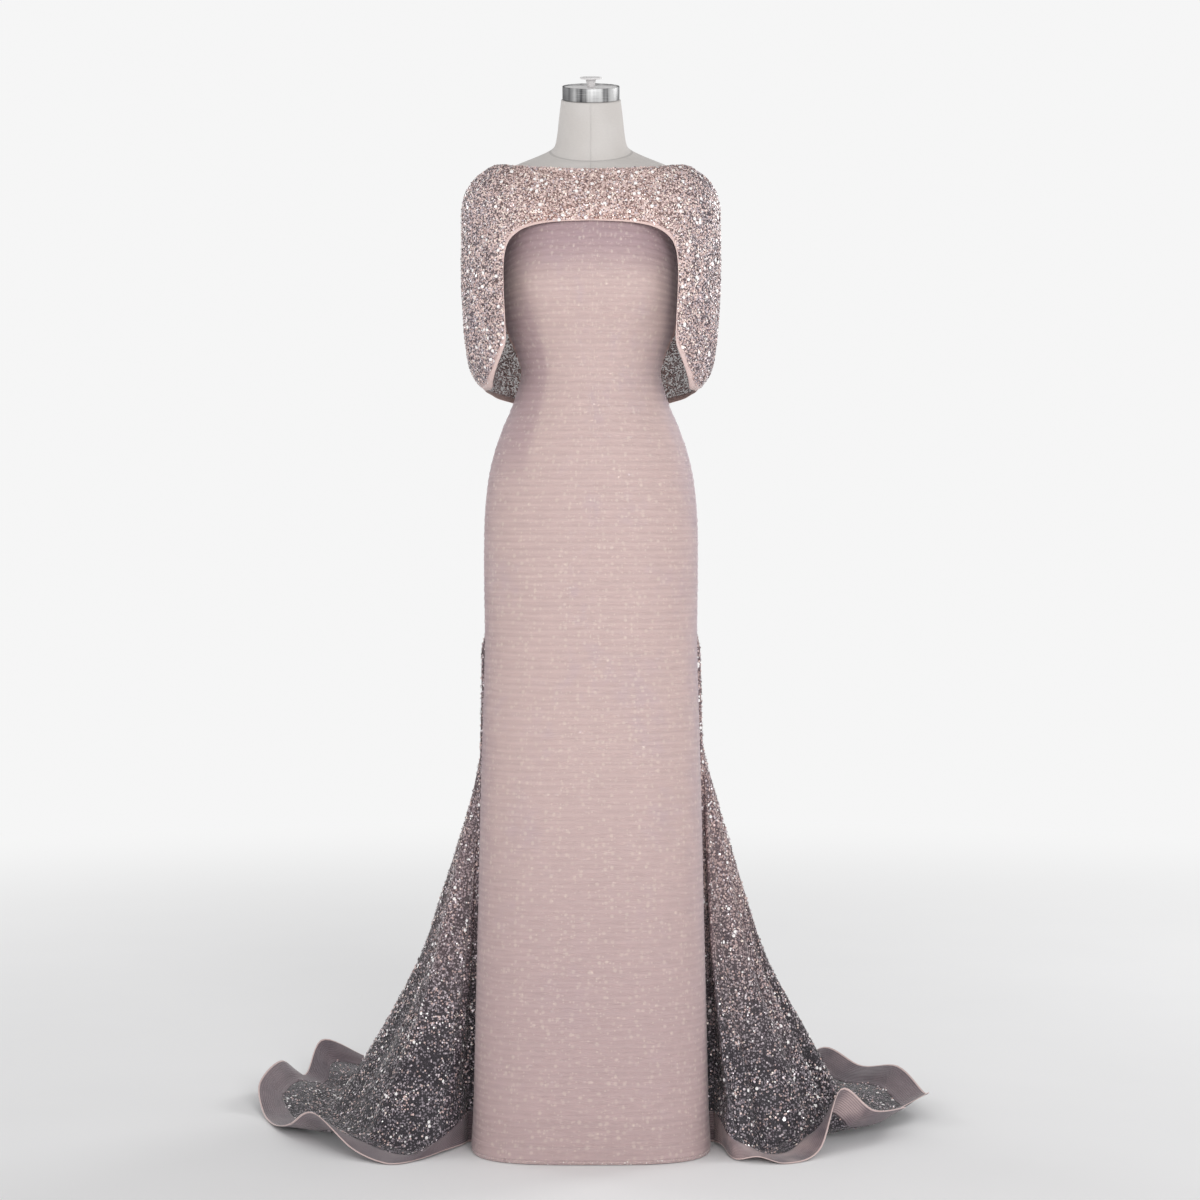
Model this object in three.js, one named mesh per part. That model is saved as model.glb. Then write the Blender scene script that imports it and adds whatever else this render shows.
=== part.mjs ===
// A floor-length evening gown with a sequinned cape and a short train, standing on a limbless dress form.
// Units are millimetres, +Z is up and the front faces -Y. The origin is on the floor, on the pole's axis.
import * as THREE from "three";

// Cloth and seams
const FORM_CLEARANCE = 0.5; // from the form to the gown's inside
const BODY_WALL = 1.2; // the sequinned column under the veil
const SEAM_GAP = 0.3;
const VEIL_WALL = 1.0; // the tucked tulle over the column
const BINDING_WALL = 1.1;
const TRAIN_WALL = 1.0;
const BRAID_WALL = 1.4;
const CAPE_WALL = 1.2;
const FLOOR_CLEARANCE = 0.6; // the lowest cloth above the floor

// The column
const TUCK_PITCH = 12;
const TUCK_COUNT = 118;
const TUCK_CREST = 0.38; // where a tuck is proudest, as a share of its pitch
const TUCK_RISE = [
  { z: 0, rise: 0.7 },
  { z: 700, rise: 0.8 },
  { z: 860, rise: 1.3 },
  { z: 1430, rise: 1.3 },
];
const VEIL_HEM = 6; // the veil's lower edge above the floor
const NECK_ALLOWANCE = 5; // the column's top above the veil's
const TALL_BAND = 8; // tucks between two plain rings below the thigh
const SHORT_BAND = 4; // and above it
const THIGH = 680;
const PRINCESS_TURN = 35; // the seam between front and side front, in degrees from the centre front
const CENTRE_TURNS = [-PRINCESS_TURN, -17.5, 0, 17.5, PRINCESS_TURN];
const SIDE_TURNS = [PRINCESS_TURN, 52, 71, 90];
const BACK_TURNS = [90, 108, 126, 144, 162, 178];
const BACK_SEAM_TURNS = [...BACK_TURNS, 180, ...BACK_TURNS.map((turn) => 360 - turn).reverse()];

// The neckline dips from the centre front to the side seams, and again to the zip.
const DIP_FROM = 1250;
const NECK_TOP = VEIL_HEM + TUCK_COUNT * TUCK_PITCH;
const SIDE_DIP = 40;
const BACK_DIP = 34;

// Sections of the figure that the form and the gown share. square is the exponent of the oval.
const FIGURE = [
  { z: 0, half: 183, front: 137, back: 130, square: 3.3 },
  { z: 60, half: 179.5, front: 134, back: 128, square: 3.2 },
  { z: 220, half: 175.5, front: 127, back: 124, square: 3.1 },
  { z: 375, half: 171.5, front: 121, back: 120, square: 3.0 },
  { z: 527, half: 168, front: 116, back: 118, square: 2.9 },
  { z: 681, half: 163.5, front: 112, back: 118, square: 2.75 },
  { z: 774, half: 161, front: 109, back: 120, square: 2.6 },
  { z: 855, half: 161.5, front: 108, back: 124, square: 2.5 },
  { z: 913, half: 162, front: 107, back: 126, square: 2.45 },
  { z: 974, half: 160.8, front: 106, back: 125, square: 2.4 },
  { z: 1006, half: 158.5, front: 105, back: 121, square: 2.35 },
  { z: 1045, half: 152.7, front: 103, back: 113, square: 2.3 },
  { z: 1079, half: 144.2, front: 100, back: 103, square: 2.3 },
  { z: 1113, half: 132.2, front: 95.5, back: 92, square: 2.25 },
  { z: 1142, half: 119.5, front: 91, back: 85, square: 2.2 },
  { z: 1184, half: 106, front: 86, back: 80, square: 2.15 },
  { z: 1199, half: 104.5, front: 85.5, back: 79, square: 2.15 },
  { z: 1227, half: 112.5, front: 89, back: 82, square: 2.15 },
  { z: 1256, half: 125, front: 96, back: 88, square: 2.2 },
  { z: 1300, half: 133.5, front: 107, back: 97, square: 2.25 },
  { z: 1346, half: 135, front: 108, back: 103, square: 2.3 },
  { z: 1392, half: 131, front: 104, back: 104, square: 2.3 },
  { z: 1432, half: 134, front: 97, back: 100, square: 2.3 },
];
const BUST = { turn: 33, turnSpread: 17, z: 1322, zSpread: 38, rise: 9 };

// The form above the gown: shoulders, then the neck, whose top tips forward by tip degrees.
const SHOULDERS = [
  { z: 1450, half: 146, front: 92, back: 95, square: 2.3, tip: 0 },
  { z: 1468, half: 160, front: 85, back: 89, square: 2.3, tip: 0 },
  { z: 1482, half: 164, front: 79, back: 82, square: 2.2, tip: 0 },
  { z: 1493, half: 156, front: 72, back: 75, square: 2.1, tip: 0 },
  { z: 1502, half: 141, front: 66, back: 69, square: 2, tip: 2 },
  { z: 1511, half: 125, front: 62, back: 64, square: 2, tip: 5 },
  { z: 1520, half: 104, front: 59, back: 60, square: 2, tip: 10 },
  { z: 1529, half: 79, front: 56, back: 57, square: 2, tip: 16 },
  { z: 1535, half: 64, front: 53.5, back: 55, square: 2, tip: 21 },
  { z: 1542, half: 56.5, front: 52.5, back: 53, square: 2, tip: 23 },
  { z: 1561, half: 52, front: 50.5, back: 51, square: 2, tip: 21 },
  { z: 1588, half: 49, front: 48, back: 48.5, square: 2, tip: 17.5 },
  { z: 1615, half: 45.6, front: 45.6, back: 45.6, square: 2, tip: 14.5 },
];
const FORM_BOTTOM = 795;
const CAP = { radius: 43.8, wall: 2, height: 20.6, tip: 14.5, seat: 1615.4 };
const KNOB = { neck: 5.5, stem: 8.4, head: 17, stemHeight: 12, headHeight: 2.2 };
const POLE = { radius: 12.5, sides: 24 };
const COLLAR = { radius: 23, height: 32 };
const PLATE = { radius: 128, rim: 7, crown: 12, hub: 26, hubHeight: 34, sides: 36 };

// The cape's sections, each from its side, front and back points. drop counts the sections down from the neck.
const CAPE = [
  { drop: 0, side: 128, sideZ: 1510.4, front: 73, frontZ: 1501, back: 76, backZ: 1505, square: 2.15 },
  { drop: 1, side: 146, sideZ: 1512.5, front: 81, frontZ: 1487, back: 86, backZ: 1492, square: 2.2 },
  { drop: 2, side: 167.5, sideZ: 1500.5, front: 90, frontZ: 1471, back: 95, backZ: 1474, square: 2.2 },
  { drop: 3, side: 186, sideZ: 1479, front: 98.5, frontZ: 1450, back: 104, backZ: 1448, square: 2.25 },
  { drop: 4, side: 195, sideZ: 1451, front: 105, frontZ: 1429, back: 111, backZ: 1417, square: 2.3 },
  { drop: 5, side: 196, sideZ: 1414, front: 110.5, frontZ: 1405, back: 116, backZ: 1380, square: 2.4 },
  { drop: 6, side: 196.5, sideZ: 1347, front: 126, frontZ: 1340, back: 122, backZ: 1322, square: 2.5 },
  { drop: 7, side: 194.5, sideZ: 1287, front: 129, frontZ: 1280, back: 128, backZ: 1268, square: 2.5 },
  { drop: 8, side: 191, sideZ: 1241, front: 129, frontZ: 1232, back: 135, backZ: 1220, square: 2.45 },
  { drop: 9, side: 181, sideZ: 1194, front: 124, frontZ: 1192, back: 141, backZ: 1178, square: 2.35 },
  { drop: 10, side: 150, sideZ: 1156, front: 112, frontZ: 1162, back: 145, backZ: 1140, square: 2.2 },
];
// Where each line of cloth leaves the cape's neck and where it ends: over the bodice, down the front edge, then
// along the hem to the centre back. Angles are turns from the centre front.
const CAPE_EDGE = [
  { neck: 0, turn: 0, drop: 4.5 },
  { neck: 11, turn: 11, drop: 4.6 },
  { neck: 22, turn: 21, drop: 4.8 },
  { neck: 32, turn: 29, drop: 5.05 },
  { neck: 40, turn: 34.5, drop: 5.35 },
  { neck: 47, turn: 36.6, drop: 5.8 },
  { neck: 52, turn: 36.8, drop: 6.5 },
  { neck: 57, turn: 36.6, drop: 7.2 },
  { neck: 62, turn: 37.3, drop: 7.9 },
  { neck: 67, turn: 43, drop: 8.5 },
  { neck: 72, turn: 49.5, drop: 8.97 },
  { neck: 77, turn: 55.6, drop: 9.27 },
  { neck: 84, turn: 65.2, drop: 9.6 },
  { neck: 92, turn: 77, drop: 9.64 },
  { neck: 101, turn: 92, drop: 9.67 },
  { neck: 114, turn: 109, drop: 9.74 },
  { neck: 130, turn: 127, drop: 9.86 },
  { neck: 147, turn: 145, drop: 9.95 },
  { neck: 164, turn: 163, drop: 10 },
  { neck: 180, turn: 180, drop: 10 },
];
const SHOULDER_SEAM = 92; // the line of cloth where the cape's front meets its back
const CAPE_ROWS = 9;
// Soft folds of the cape, each a ridge from one place to another; a negative rise is a trough.
const CAPE_FOLDS = [
  { turn: 42, drop: 5.4, toTurn: 70, toDrop: 7.6, spread: 0.5, rise: 4 },
  { turn: 47, drop: 6.3, toTurn: 66, toDrop: 8.4, spread: 0.45, rise: -3 },
  { turn: 128, drop: 4, toTurn: 118, toDrop: 9.6, spread: 0.6, rise: 5 },
  { turn: 152, drop: 3.5, toTurn: 150, toDrop: 9.8, spread: 0.6, rise: -4 },
];
const TURNS_PER_DROP = 14; // degrees that count as one drop when a fold's distance is taken

// The train's free edge on the floor, from the left side seam round the back to the right one. Low knots touch the
// floor, high ones are the crests of the ruffle. fold is how far the cloth above bulges out there.
const HEM_KNOTS = [
  { x: -191, y: 5, z: 1, fold: 0 },
  { x: -203, y: -24, z: 2, fold: 0 },
  { x: -226, y: -66, z: 4, fold: 0 },
  { x: -262, y: -112, z: 2, fold: -3 },
  { x: -303, y: -136, z: 1, fold: -4 },
  { x: -362, y: -104, z: 16, fold: 4 },
  { x: -429, y: -42, z: 58, fold: 14 },
  { x: -474, y: 24, z: 24, fold: -8 },
  { x: -508, y: 104, z: 5, fold: 2 },
  { x: -536, y: 186, z: 8, fold: -8 },
  { x: -550, y: 262, z: 38, fold: 8 },
  { x: -524, y: 350, z: 56, fold: 12 },
  { x: -494, y: 432, z: 14, fold: -10 },
  { x: -470, y: 498, z: 62, fold: 12 },
  { x: -396, y: 516, z: 28, fold: 2 },
  { x: -338, y: 548, z: 3, fold: -12 },
  { x: -272, y: 580, z: 50, fold: 13 },
  { x: -204, y: 596, z: 3, fold: -12 },
  { x: -132, y: 622, z: 54, fold: 13 },
  { x: -64, y: 626, z: 3, fold: -11 },
  { x: 0, y: 640, z: 46, fold: 12 },
  { x: 66, y: 624, z: 3, fold: -12 },
  { x: 136, y: 618, z: 56, fold: 13 },
  { x: 206, y: 590, z: 3, fold: -12 },
  { x: 274, y: 576, z: 48, fold: 12 },
  { x: 342, y: 532, z: 3, fold: -12 },
  { x: 402, y: 462, z: 56, fold: 12 },
  { x: 458, y: 386, z: 40, fold: -2 },
  { x: 512, y: 306, z: 56, fold: 10 },
  { x: 546, y: 228, z: 30, fold: 2 },
  { x: 544, y: 164, z: 42, fold: 6 },
  { x: 498, y: 116, z: 30, fold: -8 },
  { x: 494, y: 46, z: 46, fold: 6 },
  { x: 440, y: -8, z: 54, fold: 4 },
  { x: 386, y: -38, z: 94, fold: 16 },
  { x: 350, y: -94, z: 14, fold: -8 },
  { x: 298, y: -131, z: 1, fold: 6 },
  { x: 254, y: -124, z: 9, fold: -8 },
  { x: 219, y: -106, z: 1, fold: -2 },
  { x: 203, y: -44, z: 7, fold: 2 },
  { x: 191, y: 5, z: 1, fold: 0 },
];
const STEPS_PER_KNOT = 2;
const BRAID_WIDTH = 50;
const BRAID_GAP = 0.8;
const TRAIN_SEAM = { side: 800, centre: 925 }; // the seam between back and train
const SEAM_TURN = 0.12; // the train's ends stay this many degrees clear of the side fronts
const PLEAT_TURN = 1.6; // and the small pleat beside each, at the top, this many
// Shares of the way down to the floor, each with the share of the way out that the left and right sides have gone.
const TRAIN_LEVELS = [
  { down: 0, left: 0, right: 0 },
  { down: 0.05, left: 0.0067, right: 0.014 },
  { down: 0.15, left: 0.042, right: 0.066 },
  { down: 0.28, left: 0.119, right: 0.166 },
  { down: 0.42, left: 0.226, right: 0.296 },
  { down: 0.56, left: 0.35, right: 0.408 },
  { down: 0.7, left: 0.474, right: 0.542 },
  { down: 0.84, left: 0.665, right: 0.765 },
  { down: 0.94, left: 0.86, right: 0.905 },
  { down: 1, left: 1, right: 1 },
];
const LANDING = { seam: 1, open: 0.78, over: 0.12 }; // where the cloth meets the floor, between body and braid
const TRAIN_STAND_OFF = 7; // the train's first fold outside the veil's side edge
const LANDING_LIFT = 2.2;
const LANDING_RIPPLE = 0.15; // shares of the free edge's height that the cloth has where it lands
const BRAID_LIFT = 0.4; // and where the braid begins
const FLUTE_FROM = 0.12; // share of the way down where the flutes begin

const COLOURS = {
  veil: 0xd3b5b4,
  sequin: 0xd9bcb6,
  net: 0xb9a3a5,
  braid: 0xa8979b,
  linen: 0xd6d1cd,
  steel: 0x9a999d,
  iron: 0x3b3c40,
  coral: 0xd99a8c,
  zip: 0xcfb3b0,
};

const radians = THREE.MathUtils.degToRad;
const { clamp, lerp, smoothstep } = THREE.MathUtils;

// The row of a table at a given place, with every column read along a smooth curve.
function rowAt(table, key, place) {
  const last = table.length - 1;
  let low = 0;
  while (low < last - 1 && table[low + 1][key] <= place) low++;
  const [before, from, to, after] = [low - 1, low, low + 1, low + 2].map((i) => table[clamp(i, 0, last)]);
  const span = to[key] - from[key];
  const t = clamp((place - from[key]) / span, 0, 1);
  const row = {};
  for (const column of Object.keys(from)) {
    const startSlope = (span * (to[column] - before[column])) / (to[key] - before[key]);
    const endSlope = (span * (after[column] - from[column])) / (after[key] - from[key]);
    row[column] =
      (2 * t ** 3 - 3 * t ** 2 + 1) * from[column] +
      (t ** 3 - 2 * t ** 2 + t) * startSlope +
      (3 * t ** 2 - 2 * t ** 3) * to[column] +
      (t ** 3 - t ** 2) * endSlope;
  }
  return row;
}

// A point on an oval whose front and back depths differ. Turns are degrees from the front, towards +X.
function onOval(turn, half, front, back, square) {
  const sine = Math.sin(radians(turn));
  const cosine = Math.cos(radians(turn));
  const x = half * Math.sign(sine) * Math.abs(sine) ** (2 / square);
  const y = Math.abs(cosine) ** (2 / square) * (cosine > 0 ? -front : back);
  return new THREE.Vector3(x, y, 0);
}

// A turn's angle from the centre front, on either side.
const fromFront = (turn) => Math.abs(THREE.MathUtils.euclideanModulo(turn + 180, 360) - 180);

function bustRise(turn, z) {
  const across = (fromFront(turn) - BUST.turn) / BUST.turnSpread;
  const up = (z - BUST.z) / BUST.zSpread;
  return BUST.rise * Math.exp(-across * across - up * up);
}

// A point on the figure, out millimetres outside it.
function onFigure(turn, z, out) {
  const row = rowAt(FIGURE, "z", z);
  const grown = out + bustRise(turn, z);
  return onOval(turn, row.half + grown, row.front + grown, row.back + grown, row.square).setZ(z);
}

// How far the neckline, and the tucks under it, dip below the centre front.
function neckDip(turn) {
  const away = fromFront(turn);
  const front = SIDE_DIP * (1 - Math.cos(radians(Math.min(away, 90)))) ** 1.5;
  const back = BACK_DIP * Math.sin(radians(clamp(away - 90, 0, 90))) ** 2;
  return front + back;
}

const levelAt = (level, turn) => level - neckDip(turn) * smoothstep(level, DIP_FROM, NECK_TOP);

// One ring of a panel, its two ends drawn in by half a seam's gap.
function drawnIn(points) {
  const drawIn = (end, next) => end.add(next.clone().sub(end).setLength(SEAM_GAP / 2));
  drawIn(points[0], points[1]);
  drawIn(points.at(-1), points.at(-2));
  return points;
}

const panelRing = (turns, level, out) => drawnIn(turns.map((turn) => onFigure(turn, levelAt(level, turn), out)));

// Triangles between two lines of points that run the same way, paired by the share of their length.
function zipper(first, second) {
  const shares = (line) => {
    const lengths = [0];
    for (let i = 1; i < line.length; i++) lengths.push(lengths[i - 1] + line[i].distanceTo(line[i - 1]));
    return lengths.map((length) => length / lengths.at(-1));
  };
  const [a, b] = [shares(first), shares(second)];
  const triangles = [];
  let i = 0;
  let j = 0;
  while (i < first.length - 1 || j < second.length - 1) {
    const alongFirst = j === second.length - 1 || (i < first.length - 1 && a[i + 1] <= b[j + 1]);
    if (alongFirst) triangles.push([first[i], first[++i], second[j]]);
    else triangles.push([first[i], second[j + 1], second[j++]]);
  }
  return triangles;
}

const flipped = (triangles) => triangles.map(([a, b, c]) => [a, c, b]);

// The triangles of a grid of points, whose columns may close on themselves.
function sheet(grid, closed = false) {
  const triangles = [];
  const across = grid[0].length;
  for (let row = 1; row < grid.length; row++)
    for (let column = closed ? 0 : 1; column < across; column++) {
      const left = (column + across - 1) % across;
      const [a, b] = [grid[row - 1][left], grid[row - 1][column]];
      const [c, d] = [grid[row][column], grid[row][left]];
      triangles.push([a, b, c], [a, c, d]);
    }
  return triangles;
}

function solidFrom(triangles) {
  let sixVolumes = 0;
  for (const [a, b, c] of triangles) sixVolumes += a.dot(b.clone().cross(c));
  const outward = sixVolumes > 0 ? triangles : flipped(triangles);
  const positions = outward.flat().flatMap((point) => [point.x, point.y, point.z]);
  const geometry = new THREE.BufferGeometry();
  geometry.setAttribute("position", new THREE.Float32BufferAttribute(positions, 3));
  geometry.computeVertexNormals();
  return geometry;
}

// A wall between an inner and an outer grid of the same outline. Their rows may differ in number.
function wallBetween(inner, outer, closed = false) {
  const loop = (row) => (closed ? [...row, row[0]] : row);
  const edge = (grid, column) => grid.map((row) => row.at(column));
  const triangles = [
    ...sheet(outer, closed),
    ...flipped(sheet(inner, closed)),
    ...zipper(loop(inner[0]), loop(outer[0])),
    ...flipped(zipper(loop(inner.at(-1)), loop(outer.at(-1)))),
  ];
  if (!closed)
    triangles.push(...flipped(zipper(edge(inner, 0), edge(outer, 0))), ...zipper(edge(inner, -1), edge(outer, -1)));
  return solidFrom(triangles);
}

// At each point of a grid, the way down its column, and its normal on the side that down crosses along.
function directionsOf(grid, closed = false) {
  const rows = grid.length;
  const columns = grid[0].length;
  const column = (c) => (closed ? (c + columns) % columns : clamp(c, 0, columns - 1));
  return grid.map((row, r) =>
    row.map((_, c) => {
      const along = row[column(c + 1)].clone().sub(row[column(c - 1)]);
      const down = grid[Math.min(r + 1, rows - 1)][c].clone().sub(grid[Math.max(r - 1, 0)][c]).normalize();
      return { down, normal: down.clone().cross(along).normalize() };
    }),
  );
}

// A grid moved along its normals by some distance, and down its columns by some other.
const moved = (grid, directions, distance, slide = () => 0) =>
  grid.map((row, r) =>
    row.map((point, c) => {
      const { down, normal } = directions[r][c];
      return point.clone().addScaledVector(normal, distance).addScaledVector(down, slide(r));
    }),
  );

// A lofted solid through closed rings, with flat ends.
function loft(rings) {
  const end = (ring) => {
    const middle = ring.reduce((sum, point) => sum.add(point), new THREE.Vector3()).divideScalar(ring.length);
    return ring.map((point, i) => [middle, point, ring[(i + 1) % ring.length]]);
  };
  return solidFrom([...sheet(rings, true), ...flipped(end(rings[0])), ...end(rings.at(-1))]);
}

const gown = new THREE.Group();

function piece(name, geometry, colour, finish = {}) {
  const material = new THREE.MeshStandardMaterial({ color: colour, roughness: 0.7, metalness: 0, ...finish });
  const mesh = new THREE.Mesh(geometry, material);
  mesh.name = name;
  return mesh;
}

const mirroredTurns = (turns) => turns.map((turn) => -turn).reverse();

// The levels of the plain rings, from the veil's hem to the neckline.
function bandLevels() {
  const levels = [];
  for (let tuck = 0; tuck < TUCK_COUNT; tuck += tuck * TUCK_PITCH < THIGH ? TALL_BAND : SHORT_BAND)
    levels.push(VEIL_HEM + tuck * TUCK_PITCH);
  return [...levels, NECK_TOP];
}

const bodyLevels = () => [FLOOR_CLEARANCE, ...bandLevels().slice(1), NECK_TOP + NECK_ALLOWANCE];

function addColumn() {
  const levels = bodyLevels();
  const panel = (name, turns, heights) => {
    const grid = (out) => heights.map((level) => panelRing(turns, level, out));
    const walls = wallBetween(grid(FORM_CLEARANCE), grid(FORM_CLEARANCE + BODY_WALL));
    gown.add(piece(name, walls, COLOURS.sequin));
  };
  panel("front_centre", CENTRE_TURNS, levels);
  panel("side_front_right", SIDE_TURNS, levels);
  panel("side_front_left", mirroredTurns(SIDE_TURNS), levels);
  addBack("back_right", BACK_TURNS);
  addBack("back_left", mirroredTurns(BACK_TURNS));
  const zipTurns = [BACK_TURNS.at(-1), 180, 360 - BACK_TURNS.at(-1)];
  addBack("back_zip", zipTurns, COLOURS.zip);
}

// The seam between back and train rises from the side seams to the zip.
const trainSeamLevel = (turn) => lerp(TRAIN_SEAM.side, TRAIN_SEAM.centre, fromFront(turn) / 90 - 1);

// A point of that seam, on the straight edge between two of the back's lines.
function onTrainSeam(turn, out) {
  const after = BACK_SEAM_TURNS.findIndex((edge) => edge >= turn);
  const [from, to] = [BACK_SEAM_TURNS[after - 1], BACK_SEAM_TURNS[after]];
  const start = onFigure(from, trainSeamLevel(from), out);
  return start.lerp(onFigure(to, trainSeamLevel(to), out), (turn - from) / (to - from));
}

function addBack(name, turns, colour = COLOURS.sequin) {
  const levels = bodyLevels().filter((level) => level > TRAIN_SEAM.centre);
  const hipRing = (share, out) =>
    drawnIn(turns.map((turn) => onFigure(turn, lerp(trainSeamLevel(turn) + SEAM_GAP, levels[0], share), out)));
  const grid = (out) => [
    ...[0, 0.25, 0.5, 0.75].map((share) => hipRing(share, out)),
    ...levels.map((level) => panelRing(turns, level, out)),
  ];
  gown.add(piece(name, wallBetween(grid(FORM_CLEARANCE), grid(FORM_CLEARANCE + BODY_WALL)), colour));
}

// The tulle over the front, drawn into level tucks. Its inside is plain and lies along the column.
function addVeil() {
  const turns = [...mirroredTurns(SIDE_TURNS), ...CENTRE_TURNS.slice(1, -1), ...SIDE_TURNS];
  const inside = FORM_CLEARANCE + BODY_WALL + SEAM_GAP;
  const levels = bandLevels();
  const inner = levels.map((level) => panelRing(turns, level, inside));
  const outer = [];
  const ringAt = (level, rise) => {
    const band = clamp(levels.findIndex((top) => top >= level), 1, levels.length - 1);
    const share = (level - levels[band - 1]) / (levels[band] - levels[band - 1]);
    const [low, high] = [levels[band - 1], levels[band]].map((z) => panelRing(turns, z, inside + VEIL_WALL + rise));
    return low.map((point, i) => point.lerp(high[i], share));
  };
  for (let tuck = 0; tuck < TUCK_COUNT; tuck++) {
    const low = VEIL_HEM + tuck * TUCK_PITCH;
    outer.push(ringAt(low, 0), ringAt(low + TUCK_CREST * TUCK_PITCH, rowAt(TUCK_RISE, "z", low).rise));
  }
  outer.push(ringAt(NECK_TOP, 0));
  gown.add(piece("front_veil", wallBetween(inner, outer), COLOURS.veil, { roughness: 0.85 }));
}

const HEM = HEM_KNOTS.map((knot, at) => ({ at, ...knot }));

// One line of the train's cloth, from the seam on the back to the floor and out to the free edge. Share runs round
// the hem, and fall says how far the line hangs as the column does, as it must beside the side seams.
function trainLine(share) {
  const turn = lerp(270 - PLEAT_TURN, 90 + PLEAT_TURN, share);
  const fall = 1 - smoothstep(Math.min(share, 1 - share), 0, LANDING.over);
  const { x, y, z, fold } = rowAt(HEM, "at", share * (HEM.length - 1));
  const edge = new THREE.Vector3(x, y, Math.max(z, FLOOR_CLEARANCE + BRAID_WALL / 2));
  const top = onTrainSeam(turn, FORM_CLEARANCE + TRAIN_WALL / 2);
  const outward = new THREE.Vector3(x - top.x, y - top.y, 0).normalize();
  const lift = Math.max(BRAID_LIFT * edge.z, edge.z - 0.88 * BRAID_WIDTH);
  const run = Math.sqrt(BRAID_WIDTH ** 2 - (edge.z - lift) ** 2);
  const foot = edge.clone().addScaledVector(outward, -run * (1 - fall));
  foot.z = lerp(LANDING_LIFT + lift, BRAID_WIDTH, fall);
  const landing = top.clone().lerp(foot, lerp(LANDING.open, LANDING.seam, fall));
  landing.z = lerp(LANDING_LIFT + LANDING_RIPPLE * edge.z, BRAID_WIDTH * 2, fall);
  const line = TRAIN_LEVELS.map(({ down, left, right }) => {
    const standOff = TRAIN_STAND_OFF * fall * smoothstep(down, 0, TRAIN_LEVELS[1].down);
    const fluted = fold * smoothstep(down, FLUTE_FROM, 0.9) * (1 - 0.5 * smoothstep(down, 0.9, 1));
    const point = top.clone().lerp(landing, lerp(left, right, share));
    point.z = lerp(top.z - SEAM_GAP / 2, landing.z, down);
    point.x += Math.sign(point.x) * standOff;
    return point.addScaledVector(outward, fluted);
  });
  line.push(landing.clone().lerp(foot, 0.55), foot, foot.clone().lerp(edge, 0.5), edge);
  return line;
}

// The line that is sewn along the column's side, as high all the way as the line beside it.
function sideSeamLine(beside, turn) {
  const heights = beside.map(({ z }) => z);
  heights[0] = trainSeamLevel(turn) - SEAM_GAP / 2;
  return heights.map((z) => onFigure(turn, z, FORM_CLEARANCE + TRAIN_WALL / 2));
}

const TRAIN_FOOT = TRAIN_LEVELS.length + 1; // the row where the net ends and the braid begins

function addTrain() {
  const steps = (HEM_KNOTS.length - 1) * STEPS_PER_KNOT;
  const open = Array.from({ length: steps + 1 }, (_, i) => trainLine(i / steps));
  const lines = [sideSeamLine(open[0], 270 - SEAM_TURN), ...open, sideSeamLine(open[steps], 90 + SEAM_TURN)];
  const grid = lines[0].map((_, row) => lines.map((line) => line[row]));
  const directions = directionsOf(grid);
  const last = grid.length - 1;
  const gap = BRAID_GAP / 2;
  const parts = [
    { name: "train", wall: TRAIN_WALL, from: 0, to: TRAIN_FOOT, slide: -gap, colour: COLOURS.net },
    { name: "braid", wall: BRAID_WALL, from: TRAIN_FOOT, to: last, slide: gap, colour: COLOURS.braid },
  ];
  const slide = (row, distance) => (row === TRAIN_FOOT ? distance : 0);
  for (const { name, wall, from, to, slide: footSlide, colour } of parts) {
    const faces = [-wall / 2, wall / 2].map((distance) =>
      moved(grid, directions, distance, (row) => slide(row, footSlide)).slice(from, to + 1),
    );
    for (const side of ["left", "right"]) {
      const [outer, inner] = faces.map((face) => face.map((row) => halfRow(row, side)));
      gown.add(piece(`${name}_${side}`, wallBetween(inner, outer), colour));
    }
  }
}

// One half of a row, its middle point moved off the centre seam.
function halfRow(row, side) {
  const middle = (row.length - 1) / 2;
  const shift = ((side === "left" ? -1 : 1) * SEAM_GAP) / 2;
  const half = side === "left" ? row.slice(0, middle + 1) : row.slice(middle);
  return half.map((point) => (point === row[middle] ? point.clone().setX(point.x + shift) : point));
}

function capeFold(turn, drop) {
  let rise = 0;
  for (const fold of CAPE_FOLDS) {
    const at = new THREE.Vector2(Math.abs(turn) / TURNS_PER_DROP, drop);
    const from = new THREE.Vector2(fold.turn / TURNS_PER_DROP, fold.drop);
    const run = new THREE.Vector2(fold.toTurn / TURNS_PER_DROP, fold.toDrop).sub(from);
    const share = clamp(at.clone().sub(from).dot(run) / run.lengthSq(), 0, 1);
    const away = at.distanceTo(from.addScaledVector(run, share)) / fold.spread;
    rise += fold.rise * Math.exp(-away * away);
  }
  return rise;
}

// A point of the cape's inside.
function onCape(turn, drop) {
  const row = rowAt(CAPE, "drop", drop);
  const sideways = Math.sin(radians(turn)) ** 2;
  const middleZ = Math.abs(turn) < 90 ? row.frontZ : row.backZ;
  const fold = capeFold(turn, drop);
  const point = onOval(turn, row.side + fold, row.front + fold, row.back + fold, row.square);
  return point.setZ(lerp(middleZ, row.sideZ, sideways));
}

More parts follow.
